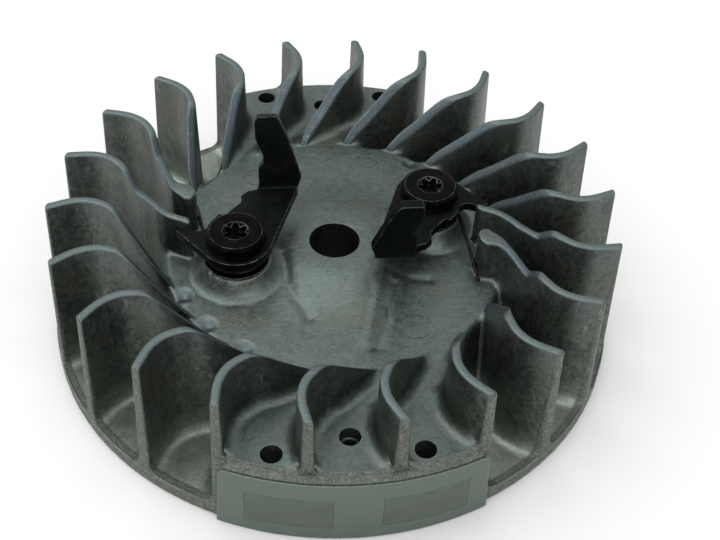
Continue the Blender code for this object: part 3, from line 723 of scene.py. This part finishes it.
def hole_cutter(name, radius, floor, top, centre):
    """A drilled hole with a small chamfer at its mouth."""
    wide = radius + HOLE_CHAMFER
    profile = [(0.0, top + 3), (wide + 0.3, top + 3), (wide + 0.3, top + 0.3), (wide, top + 0.02),
               (radius + 0.05, top - HOLE_CHAMFER), (radius, top - HOLE_CHAMFER - 0.2),
               (radius, floor + 0.25), (radius - 0.25, floor), (0.0, floor)]
    return turned(name, profile, 40, centre)


def ring_groove(radius, centre, height):
    """A thin ring, which cuts the outline of an ejector pin."""
    width, depth = EJECTOR_GROOVE
    profile = [(radius + width, height + 1), (radius + width, height - depth), (radius, height - depth),
               (radius, height + 1)]
    return turned("ejector", profile, 48, centre)


def weld(obj):
    """Merges the points that fall together, as at a stop's end."""
    solid = bmesh.new()
    solid.from_mesh(obj.data)
    bmesh.ops.remove_doubles(solid, verts=solid.verts, dist=0.003 * MM)
    bmesh.ops.dissolve_degenerate(solid, edges=solid.edges, dist=0.0005 * MM)
    solid.to_mesh(obj.data)
    solid.free()


def boss_holes():
    """The three holes in each boss. The middle one in front has a step inside it."""
    cutters = []
    for middle, floor in ((-math.pi / 2, SHOE_HIGH.z - 0.3), (math.pi / 2, COUNTER_HOLE_FLOOR_Z)):
        for radius, degrees in HOLES:
            centre = polar(radius, middle + math.radians(degrees))
            is_stepped = middle < 0 and radius < MIDDLE_HOLE_R
            depth = STEP_Z if is_stepped else floor
            cutters.append(hole_cutter("hole", HOLE_R, depth, PLATE_Z, centre))
            if is_stepped:
                profile = [(0.0, depth + 1), (STEP_R, depth + 1), (STEP_R, floor), (0.0, floor)]
                cutters.append(turned("step", profile, 32, centre))
    return cutters


def mark_beads(casting, rings):
    """Stores which points lie on the rounded top of a fin. The material uses it."""
    columns = len(rings[0][0])
    in_cell = np.arange(columns) % (columns // FIN_COUNT)
    from_fin = np.minimum(in_cell, columns // FIN_COUNT - in_cell)
    on_top = np.interp(from_fin, BEAD_COLUMNS, (1.0, 0.0))
    marks = []
    for radii, _, heights in rings:
        is_fin = (radii < TIP_R + 0.3) & (heights > PLATE_Z - 0.5)
        marks.append(on_top * smoothstep(*BEAD_R, radii) * is_fin)
    layer = casting.data.attributes.new("bead", "FLOAT", "POINT")
    layer.data.foreach_set("value", np.concatenate(marks).astype(np.float32))


def casting_cutters():
    """Everything that is cut from the casting: holes, pockets for the magnet's parts, pin outlines."""
    cutters = boss_holes()
    for sign in (1, -1):
        centre = (sign * LEFT_PIVOT.x, sign * LEFT_PIVOT.y)
        cutters.append(hole_cutter("thread", THREAD_R, SCREW_LOW.z - 0.4, PAD_TOP, centre))
    for side in (-1, 1):
        outline = shoe_outline(side, SHOE_GAP)
        cutters.append(prism("shoe_pocket", outline, SHOE_LOW.z - SHOE_GAP, SHOE_HIGH.z + SHOE_GAP))
    gap = Vector((MAGNET_GAP,) * 3)
    low, high = MAGNET_LOW - gap, MAGNET_HIGH + gap
    pocket = [(low.x, low.y), (high.x, low.y), (high.x, high.y), (low.x, high.y)]
    cutters.append(prism("magnet_pocket", pocket, low.z, high.z))
    for radius, degrees, size in EJECTOR_MARKS:
        x, y = polar(radius, math.radians(degrees))
        cutters.append(ring_groove(size, (x, y), float(plate_height(x, y))))
    return cutters


def make_casting():
    rings = casting_rings()
    casting = grid_mesh("flywheel_casting", rings)
    mark_beads(casting, rings)
    weld(casting)
    combine(casting, [pole_block()], "UNION")
    combine(casting, casting_cutters(), "DIFFERENCE")
    shade(casting)
    fins = [f"fin_{number:02d}" for number in range(1, FIN_COUNT + 1)]
    place(casting, "flywheel", "casting", cast_aluminium(), "flywheel_disc", *fins)


def make_magnet():
    steel = pole_steel()
    for side, label in ((-1, "left"), (1, "right")):
        shoe = prism(label + "_pole_face", shoe_outline(side), SHOE_LOW.z, SHOE_HIGH.z)
        bevel(shoe, 0.07)
        shade(shoe)
        place(shoe, "flywheel", "pole_steel", steel, label + "_pole_shoe")
    dress(frame["nodes"]["magnet"], sintered_magnet())


# ---- pawls

def corners_of(outline):
    """Each point of a closed outline with the directions into it and out of it."""
    for before, here, after in zip(outline[-1:] + outline[:-1], outline, outline[1:] + outline[:1]):
        yield Vector(here) - Vector(before), Vector(here), Vector(after) - Vector(here)


def offset_outline(outline, distance):
    """The same outline drawn in by a small distance. The outline runs anticlockwise."""
    moved = []
    for into, here, out in corners_of(outline):
        u, v = into.normalized(), out.normalized()
        normal = Vector((-u.y - v.y, u.x + v.x)).normalized()
        scale = max(0.4, normal.dot(Vector((-u.y, u.x))))
        moved.append(tuple(here + normal * distance / scale))
    return moved


def knee(start, corner, end, steps):
    """Points of a soft bend that leaves out a corner."""
    return [start * (1 - t) ** 2 + corner * 2 * t * (1 - t) + end * t ** 2
            for t in (k / steps for k in range(steps + 1))]


def softened(outline, radius):
    """Rounds each corner of an outline that is sharper than a curve's own small turns."""
    points = []
    for into, here, out in corners_of(outline):
        turn = abs(into.angle_signed(out))
        if turn < math.radians(14):
            points.append(here)
            continue
        reach = min(radius * math.tan(turn / 2), 0.45 * into.length, 0.45 * out.length)
        points += knee(here - into.normalized() * reach, here, here + out.normalized() * reach, 3)
    return [tuple(point) for point in points]


def pawl_flat_outline():
    """The pawl cut from sheet and not yet bent: lobe, front edge, tab, back edge, notch and tail."""
    tip = Vector(TAIL_TIP)
    tail_tangent = math.atan2(tip.y, tip.x) + math.acos(LOBE_R / tip.length)
    corner = Vector((BEND_X[1], BEND_Y))
    front_tangent = math.atan2(corner.y, corner.x) - math.acos(LOBE_R / corner.length)
    sweep = front_tangent + 2 * math.pi - tail_tangent
    lobe = [polar(LOBE_R, tail_tangent + sweep * i / 48) for i in range(49)]
    along = BEND_START_Y + BEND_ARC - BEND_REACH
    tab = [(x, along + up) for x, up in TAB[::-1]]
    back = list(PAWL_BACK[::-1]) + list(TAIL_NOTCH[::-1])
    blunt = [(tip.x + x, tip.y + y) for x, y in TIP_BLUNT]
    return lobe + tab + [(BEND_X[0], BEND_Y + 0.3)] + back + blunt


def bend_point(point):
    """Takes a point of the flat pawl to its place round the bend. Its height is measured in the sheet."""
    x, along, height = point
    depth = PAWL_THICKNESS - height
    if along <= BEND_START_Y:
        return Vector((x, along, height))
    angle = min((along - BEND_START_Y) / BEND_INNER_R, BEND_ANGLE)
    beyond = max(0.0, along - BEND_START_Y - BEND_ARC)
    corner = 1 / math.cos(min(angle, BEND_ANGLE - angle)) - 1
    reach = BEND_INNER_R + depth + (BEND_INNER_R + depth) * corner * BEND_SHARPNESS * depth / PAWL_THICKNESS
    y = BEND_START_Y + reach * math.sin(angle) + beyond * math.cos(angle)
    z = PAWL_THICKNESS + BEND_INNER_R - reach * math.cos(angle) + beyond * math.sin(angle)
    return Vector((x, y, z))


def fill_ring(solid, outer, inner):
    """Fills the flat space between an outline and the hole in it."""
    edges = []
    for ring in (outer, inner):
        for a, b in zip(ring, ring[1:] + ring[:1]):
            edges.append(solid.edges.get((a, b)) or solid.edges.new((a, b)))
    bmesh.ops.triangle_fill(solid, edges=edges, use_beauty=True, use_dissolve=False)


def make_pawl(label, turn):
    """The lever: a flat sheet with rounded edges and a hole, cut across the bend and then bent."""
    outline = softened(pawl_flat_outline(), CORNER_ROUND)
    hole = [polar(PAWL_HOLE_R, 2 * math.pi * i / 48) for i in range(48)]
    solid = bmesh.new()
    outer_rings, inner_rings = [], []
    round_edge = [(EDGE_ROUND * (1 - math.sin(a)), EDGE_ROUND * (1 - math.cos(a)))
                  for a in np.radians((90, 60, 30, 0))]
    levels = round_edge + [(PAWL_THICKNESS - height, inset) for height, inset in round_edge[::-1]]
    for height, inset in levels:
        ring = offset_outline(outline, inset)
        outer_rings.append([solid.verts.new((x, y, height)) for x, y in ring])
        inner_rings.append([solid.verts.new((x, y, height)) for x, y in hole])
    for rings in (outer_rings, inner_rings):
        skin(solid, rings, "open")
    fill_ring(solid, outer_rings[0], inner_rings[0])
    fill_ring(solid, outer_rings[-1], inner_rings[-1])
    for i in range(BEND_CUTS + 1):
        level = (0.0, BEND_START_Y + BEND_ARC * i / BEND_CUTS, 0.0)
        geometry = solid.verts[:] + solid.edges[:] + solid.faces[:]
        bmesh.ops.bisect_plane(solid, geom=geometry, plane_co=level, plane_no=(0.0, 1.0, 0.0), dist=0.0005)
    for vert in solid.verts:
        vert.co = bend_point(vert.co) + Vector((0.0, 0.0, PAWL_FOOT_Z))
    return finished(label + "_pawl_lever", solid, to_frame(turn))


def to_frame(turn, unit=MM):
    """From a pawl's own place and unit to the frame's metres. The right pawl is turned half round."""
    pivot = Matrix.Translation((LEFT_PIVOT.x * MM, LEFT_PIVOT.y * MM, 0.0))
    return Matrix.Rotation(turn, 4, "Z") @ pivot @ Matrix.Scale(unit, 4)


def star(radius, lobe, turn, steps=72):
    """Outline of a six-lobe socket."""
    angles = [2 * math.pi * i / steps for i in range(steps)]
    return [polar(radius + lobe * math.cos(6 * a) - 0.3 * lobe * math.cos(12 * a), a + turn) for a in angles]


def make_screw(label, turn, steel):
    """Round head with a six-lobe recess and a plain shank."""
    top, foot, tip = SCREW_HIGH.z, HEAD_FOOT_Z, SCREW_LOW.z
    profile = [(0.0, top - 0.02), (4.6, top), (HEAD_FLAT_R, top), (HEAD_FLAT_R + 0.05, top - 0.04),
               (HEAD_R - 0.34, top - 0.26), (HEAD_R - 0.12, top - 0.5), (HEAD_R - 0.02, top - 0.75),
               (HEAD_R, top - 0.95), (HEAD_R, foot + 0.15), (HEAD_R - 0.15, foot), (SHANK_R, foot),
               (SHANK_R, tip + 0.5), (SHANK_R - 0.5, tip), (0.0, tip)]
    screw = turned(label + "_pawl_cap_screw", profile, 96)
    socket = prism("socket", star(SOCKET_R, SOCKET_LOBE, SOCKET_TURN[label]), top - SOCKET_DEPTH, top + 1.0)
    mouth_floor = top - MOUTH_DEPTH
    mouth = turned("mouth", [(0.0, top + 1.0), (SOCKET_R + 1.5, top + 1.0), (SOCKET_R + 0.3, top - 0.18),
                             (SOCKET_R - 0.5, mouth_floor), (0.0, mouth_floor)])
    combine(screw, [socket, mouth], "DIFFERENCE")
    screw.data.transform(to_frame(turn, 1.0))
    shade(screw, 30)
    place(screw, "flywheel", "black_steel", steel, label + "_pawl_screw")


def make_bush(label, turn, steel):
    """Flange on the pad, and a sleeve through the pawl."""
    low, high, reach = BUSH_LOW.z, BUSH_HIGH.z, (BUSH_HIGH.x - BUSH_LOW.x) / 2
    flange_top = low + FLANGE_THICKNESS
    profile = [(BUSH_HOLE_R + 0.15, high), (SLEEVE_R - 0.2, high), (SLEEVE_R, high - 0.2),
               (SLEEVE_R, flange_top + 0.25), (SLEEVE_R + 0.25, flange_top), (reach - 0.1, flange_top),
               (reach, flange_top - 0.1), (reach, low + 0.08), (reach - 0.08, low), (BUSH_HOLE_R, low),
               (BUSH_HOLE_R, high - 0.15)]
    bush = turned(label + "_pawl_flanged_bush", profile, 96)
    bush.data.transform(to_frame(turn, 1.0))
    shade(bush, 30)
    place(bush, "flywheel", "black_steel", steel, label + "_pawl_bush")


def spring_route():
    """Hook, coil and long leg of the torsion spring, as points about the pivot in mm."""
    steps = round(COIL_TURNS * COIL_STEPS)
    coil = []
    for i in range(steps + 1):
        angle = COIL_END + 2 * math.pi * (steps - i) / COIL_STEPS
        height = COIL_TOP_Z + (COIL_FOOT_Z - COIL_TOP_Z) * i / steps
        coil.append(Vector((*polar(COIL_R, angle), height)))
    return [Vector(HOOK_END), *coil, Vector(LEG_KNEE), Vector(LEG_END)]


def tube(route, radius, sides=12):
    """A wire along a route, with rounded ends and rings square to it."""
    solid = bmesh.new()
    rings = []
    side = Vector((0.0, 0.0, 1.0))
    round_end = ((0.0, 1.0), (0.35, 0.9), (0.85, 0.5))
    for i, point in enumerate(route):
        ahead = (route[min(i + 1, len(route) - 1)] - route[max(i - 1, 0)]).normalized()
        side = (side - ahead * side.dot(ahead)).normalized()
        other = ahead.cross(side)
        ends = ((0.0, 1.0),)
        if i == 0:
            ends = [(-shift, size) for shift, size in round_end[::-1]]
        elif i == len(route) - 1:
            ends = round_end
        for shift, size in ends:
            spots = [polar(radius * size, 2 * math.pi * k / sides) for k in range(sides)]
            rings.append([solid.verts.new(point + ahead * shift * radius + side * c + other * s)
                          for c, s in spots])
    skin(solid, rings, "capped")
    return solid


def smooth_corners(route, reach=1.2):
    """Rounds the knees of a wire."""
    points = [route[0]]
    for before, here, after in zip(route, route[1:], route[2:]):
        into, out = here - before, after - here
        if into.angle(out) < math.radians(20):
            points.append(here)
            continue
        start = here - into.normalized() * min(reach, 0.45 * into.length)
        end = here + out.normalized() * min(reach, 0.45 * out.length)
        points += knee(start, here, end, 6)
    return points + [route[-1]]


def make_spring(label, turn, wire):
    solid = tube(smooth_corners(spring_route()), WIRE_R)
    spring = finished(label + "_pawl_torsion_spring", solid, to_frame(turn))
    spring.data.shade_smooth()
    dress(spring, wire)
    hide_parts(label + "_pawl_spring")
    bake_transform(spring)


def make_pawls():
    steel = black_oxide("black_pawl", PAWL_COLORS)
    screw_steel = black_oxide("black_screw", SCREW_COLORS)
    wire = spring_wire()
    for label, turn in (("left", 0.0), ("right", math.pi)):
        pawl = make_pawl(label, turn)
        shade(pawl, 25)
        place(pawl, label + "_pawl", "black_steel", steel, label + "_pawl")
        make_screw(label, turn, screw_steel)
        make_bush(label, turn, screw_steel)
        make_spring(label, turn, wire)


# ---- materials

class Graph:
    """Shader nodes, made one call at a time. A value that is a socket is linked, others are set."""

    def __init__(self, name, kind="materials"):
        self.owner = getattr(bpy.data, kind).new(name)
        self.owner.use_nodes = True
        self.tree = self.owner.node_tree

    def add(self, kind, inputs=None, **settings):
        made = self.tree.nodes.new("ShaderNode" + kind)
        for key, value in settings.items():
            setattr(made, key, value)
        for key, value in (inputs or {}).items():
            self.set(made.inputs[key], value)
        return made

    def set(self, socket, value):
        if isinstance(value, bpy.types.NodeSocket):
            self.tree.links.new(value, socket)
        else:
            socket.default_value = value

    def math(self, operation, a, b=0.0):
        return self.add("Math", {0: a, 1: b}, operation=operation).outputs[0]

    def times(self, a, b):
        return self.math("MULTIPLY", a, b)

    def average(self, *pairs):
        """Sum of values, each times its weight."""
        total = 0.0
        for value, weight in pairs:
            total = self.math("ADD", self.times(value, weight), total)
        return total

    def ramp(self, value, low, high, to_low=0.0, to_high=1.0):
        inputs = {"Value": value, "From Min": low, "From Max": high, "To Min": to_low, "To Max": to_high}
        return self.add("MapRange", inputs, interpolation_type="SMOOTHSTEP").outputs["Result"]

    def between(self, factor, a, b):
        return self.add("Mix", {0: factor, 2: a, 3: b}).outputs[0]

    def mix(self, factor, a, b):
        """Mixes colours."""
        made = self.add("Mix", data_type="RGBA")
        self.set(made.inputs[0], factor)
        for socket, value in ((made.inputs[6], a), (made.inputs[7], b)):
            self.set(socket, value if isinstance(value, bpy.types.NodeSocket) else (*value, 1.0))
        return made.outputs[2]

    def vector(self, operation, inputs, output=0):
        return self.add("VectorMath", inputs, operation=operation).outputs[output]

    def place(self, stretch=(1.0, 1.0, 1.0)):
        """Object coordinates in mm, stretched along the axes."""
        scale = tuple(share / MM for share in stretch)
        return self.vector("MULTIPLY", {0: self.add("TexCoord").outputs["Object"], 1: scale})

    def noise(self, place, scale, detail=3.0, distortion=0.0, roughness=0.5):
        inputs = {"Vector": place, "Scale": scale, "Detail": detail, "Distortion": distortion,
                  "Roughness": roughness}
        return self.add("TexNoise", inputs).outputs["Fac"]

    def edge_wear_and_highlight(self, radius_mm, low, high):
        """One on sharp outer and inner edges, and nothing on open faces."""
        rounded = self.add("Bevel", {"Radius": radius_mm * MM}, samples=6).outputs["Normal"]
        true_normal = self.add("NewGeometry").outputs["Normal"]
        cosine = self.vector("DOT_PRODUCT", {0: rounded, 1: true_normal}, "Value")
        return self.ramp(cosine, low, high, 1.0, 0.0)

    def bump(self, height, distance_mm):
        return self.add("Bump", {"Height": height, "Distance": distance_mm * MM}).outputs["Normal"]

    def surface(self, **values):
        shader = self.tree.nodes["Principled BSDF"]
        for key, value in values.items():
            name = key.replace("_", " ").title()
            self.set(shader.inputs[name], (*value, 1.0) if isinstance(value, tuple) else value)
        return self.owner


def cast_aluminium():
    """Die cast aluminium: floors painted lighter blue-grey and fins darker olive by facing (painted light and
    shade), grained beads with a painted blue reflection, a turned face at the magnet.
    """
    g = Graph("cast_aluminium")
    place_mm = g.place()
    flat = g.vector("MULTIPLY", {0: place_mm, 1: (1.0, 1.0, 0.0)})
    radius = g.vector("LENGTH", {0: flat}, "Value")
    height = g.add("SeparateXYZ", {0: place_mm}).outputs["Z"]
    normal = g.add("TexCoord").outputs["Normal"]
    broad = g.noise(place_mm, 0.08, 3.0, 0.5)
    swirl = g.noise(place_mm, 0.34, 5.0, 1.8, 0.62)
    mottle = g.noise(place_mm, 0.75, 5.0, 0.8, 0.68)
    speckle = g.noise(place_mm, 2.1, 2.0, 0.0, 0.7)
    grain = g.noise(place_mm, 3.2, 3.0, 0.0, 0.65)

    # where each look belongs
    # up sends upward faces to the lighter colours and upright faces to the darker ones: painted light and
    # shade
    up = g.ramp(g.add("SeparateXYZ", {0: normal}).outputs["Z"], 0.3, 0.8)
    turned_face = g.ramp(radius, POLE_R - 0.45, POLE_R - 0.2)
    rough_skin = g.times(g.ramp(radius, TIP_R - 0.55, TIP_R), g.math("SUBTRACT", 1.0, turned_face))
    bead = g.add("Attribute", attribute_name="bead").outputs["Fac"]
    slope = g.times(bead, g.ramp(height, FIN_TOP - 0.5, FIN_TOP - 1.6))
    low_floor = g.times(g.ramp(height, 11.0, 4.0), g.ramp(radius, 63.0, 61.5))
    # painted shade in the small hollows where fins end
    painted_scoop_shade = g.times(g.ramp(radius, 33.0, 34.2), g.ramp(radius, 38.2, 37.4))
    painted_scoop_shade = g.times(painted_scoop_shade, g.ramp(height, PLATE_Z - 0.1, PLATE_Z - 1.0))
    # painted shade inside the bore
    bore_shade = g.times(g.ramp(radius, 6.95, 6.75), g.ramp(height, HUB_Z - 0.15, HUB_Z - 0.45))
    # painted highlight: bright lines along the rounded edges of fins and pocket rims
    painted_edge_highlight = g.times(g.edge_wear_and_highlight(0.45, 0.72, 0.96), g.ramp(mottle, 0.35, 0.6, 0.2, 0.6))

    # colours, each layer over the ones before it
    tone = g.average((broad, 0.25), (swirl, 0.4), (mottle, 0.35))
    # painted light on faces that look up, painted shade on upright faces
    floors = g.mix(g.ramp(tone, 0.36, 0.62), *UPWARD_LIT_COLORS)
    sides = g.mix(g.ramp(tone, 0.41, 0.58), *SIDE_SHADED_COLORS)
    color = g.mix(up, sides, floors)
    stain = g.ramp(g.average((broad, 0.45), (mottle, 0.55)), 0.5, 0.64)
    pits = g.ramp(g.average((mottle, 0.4), (speckle, 0.6)), 0.4, 0.62)
    across = g.ramp(g.noise(g.place((0.22, 6.0, 0.3)), 0.9, 3.0, 0.4), 0.62, 0.7)
    along = g.ramp(g.noise(g.place((5.0, 0.3, 0.25)), 0.8, 3.0, 0.5), 0.66, 0.74)
    scratch = g.math("MAXIMUM", across, g.times(along, 0.7))
    layers = (
        (g.times(stain, 0.6), CAST_BROWN),
        # painted light on the low floors near the rim
        (g.times(low_floor, g.ramp(mottle, 0.3, 0.65, 0.55, 1.0)), LOW_FLOOR_PAINTED_LIGHT),
        # painted shade in those hollows
        (g.times(painted_scoop_shade, 0.8), SHADE_AND_REFLECTION_BLUE),
        # painted reflection on the fin beads and, darker, on their slopes
        (g.times(bead, 0.75), BEAD_PAINTED_REFLECTION),
        (g.times(slope, 0.8), SHADE_AND_REFLECTION_BLUE),
        (rough_skin, g.mix(pits, *SKIN_COLORS)),
        (g.times(scratch, 0.3), CAST_SCRATCH_AND_HIGHLIGHT),
        (g.times(turned_face, 0.94), TURNED_FACE),
        # painted edge highlight
        (painted_edge_highlight, CAST_SCRATCH_AND_HIGHLIGHT),
        # painted shade in the bore
        (bore_shade, BORE_PAINTED_SHADE),
    )
    for cover, paint in layers:
        color = g.mix(cover, color, paint)
    depth = g.between(turned_face, g.between(bead, 0.28, 0.36), 0.05)
    shade_step = g.times(g.math("SUBTRACT", speckle, 0.5), g.times(depth, 2.0))
    color = g.vector("SCALE", {0: color, "Scale": g.math("ADD", shade_step, 1.0)})

    dull = g.math("MAXIMUM", rough_skin, g.times(g.math("SUBTRACT", bead, slope), 0.45))
    roughness = g.between(dull, g.ramp(swirl, 0.3, 0.7, 0.36, 0.49), 0.62)
    roughness = g.between(turned_face, roughness, 0.44)
    lines = g.times(g.math("SINE", g.times(height, 34.0)), 0.03)
    skin_relief = g.average((grain, 0.5), (swirl, 1.1), (mottle, 0.9), (g.times(speckle, dull), 1.8))
    relief = g.between(turned_face, skin_relief, lines)
    return g.surface(base_color=color, metallic=0.9, roughness=roughness, normal=g.bump(relief, 0.06))


def pole_steel():
    """Laminated pole steel, ground flush: fine upright specks on a slightly darker face."""
    g = Graph("pole_steel")
    place_mm = g.place()
    specks = g.noise(g.place((2.2, 2.2, 0.5)), 1.6, 3.0, 0.0, 0.7)
    cloud = g.noise(place_mm, 0.25, 3.0)
    color = g.mix(g.ramp(g.average((specks, 0.7), (cloud, 0.3)), 0.35, 0.65), *POLE_COLORS)
    spots = g.ramp(g.noise(place_mm, 0.8, 2.0, 0.2), 0.73, 0.77)
    color = g.mix(g.times(spots, 0.8), color, POLE_SPOT)
    roughness = g.ramp(specks, 0.3, 0.7, 0.42, 0.56)
    return g.surface(base_color=color, metallic=0.9, roughness=roughness, normal=g.bump(specks, 0.01))


def black_oxide(name, colors):
    """Blackened steel: matt black with faint brownish clouds, specks, and thin bright edges that are partly
    edge wear and partly a painted highlight.
    """
    g = Graph(name)
    place_mm = g.place()
    cloud = g.noise(place_mm, 0.3, 4.0, 0.6)
    grain = g.noise(place_mm, 5.0, 3.0, 0.0, 0.7)
    color = g.mix(g.ramp(cloud, 0.45, 0.65), *colors)
    specks = g.ramp(g.noise(place_mm, 1.7, 3.0), 0.68, 0.75)
    color = g.mix(g.times(specks, 0.5), color, BLACK_WORN)
    patches = g.ramp(g.noise(place_mm, 0.5, 4.0, 0.8), 0.4, 0.6, 0.25, 1.0)
    # thin bright edges: partly edge wear, partly a painted highlight
    color = g.mix(g.times(g.edge_wear_and_highlight(0.24, 0.9, 0.993), patches), color, BLACK_EDGE_WEAR_AND_HIGHLIGHT)
    roughness = g.ramp(g.average((cloud, 1.0), (grain, 0.3)), 0.45, 0.85, 0.42, 0.58)
    return g.surface(base_color=color, metallic=1.0, roughness=roughness, normal=g.bump(grain, 0.014))


def spring_wire():
    """Dark drawn wire, with a brassy sheen along it."""
    g = Graph("spring_wire")
    place_mm = g.place()
    cloud = g.noise(place_mm, 0.9, 3.0)
    color = g.mix(g.ramp(cloud, 0.35, 0.7), *WIRE_COLORS)
    return g.surface(base_color=color, metallic=0.95, roughness=g.ramp(cloud, 0.3, 0.7, 0.28, 0.42),
                     normal=g.bump(g.noise(place_mm, 7.0, 2.0), 0.006))


def sintered_magnet():
    """Sintered magnet: dull, fine-grained grey."""
    g = Graph("sintered_magnet")
    grain = g.noise(g.place(), 3.0, 4.0, 0.0, 0.7)
    color = g.mix(g.ramp(grain, 0.3, 0.7), *MAGNET_COLORS)
    return g.surface(base_color=color, metallic=0.5, roughness=0.62, normal=g.bump(grain, 0.03))


# ---- studio

def make_camera():
    forward = Vector((math.sin(VIEW_AZIMUTH) * math.cos(VIEW_ELEVATION),
                      math.cos(VIEW_AZIMUTH) * math.cos(VIEW_ELEVATION), -math.sin(VIEW_ELEVATION)))
    right = forward.cross(Vector((0.0, 0.0, 1.0))).normalized()
    axes = Matrix((right, right.cross(forward), -forward)).transposed()
    data = bpy.data.cameras.new("camera")
    data.lens = LENS
    data.sensor_width = 36.0
    data.clip_start = 0.01
    camera = link("camera", data)
    camera.matrix_world = (Matrix.Rotation(-VIEW_ROLL, 3, forward) @ axes).to_4x4()
    camera.location = (TARGET - forward * VIEW_DISTANCE) * MM
    bpy.context.scene.camera = camera


def make_light(name, place, size, power):
    data = bpy.data.lights.new(name, "AREA")
    data.shape = "RECTANGLE"
    data.size, data.size_y = size
    data.energy = power
    light = link(name, data)
    light.location = place
    light.rotation_euler = (LIGHT_TARGET - Vector(place)).to_track_quat("-Z", "Y").to_euler()


def make_world():
    """A soft white surround, brighter on one side."""
    g = Graph("studio", "worlds")
    bpy.context.scene.world = g.owner
    bright_side = Vector(WORLD_BRIGHT_SIDE).normalized()
    facing = g.vector("DOT_PRODUCT", {0: g.add("TexCoord").outputs["Generated"], 1: bright_side}, "Value")
    dim, bright = WORLD_STRENGTH
    inputs = {"Value": facing, "From Min": -0.6, "From Max": 1.0, "To Min": dim, "To Max": bright}
    background = g.tree.nodes["Background"]
    g.set(background.inputs["Color"], WHITE)
    g.set(background.inputs["Strength"], g.add("MapRange", inputs).outputs["Result"])


def make_studio():
    bpy.context.scene.view_settings.view_transform = "Standard"
    make_world()
    bpy.ops.mesh.primitive_plane_add(size=6.0, location=(0.0, 0.0, FLOOR_Z * MM))
    floor = bpy.context.object
    floor.name = "floor"
    floor.data.materials.append(Graph("floor").surface(base_color=FLOOR_PALE, roughness=0.95))
    for name, (spot, size, power) in LIGHTS.items():
        make_light(name, spot, size, power)


make_camera()
make_casting()
make_magnet()
make_pawls()
make_studio()
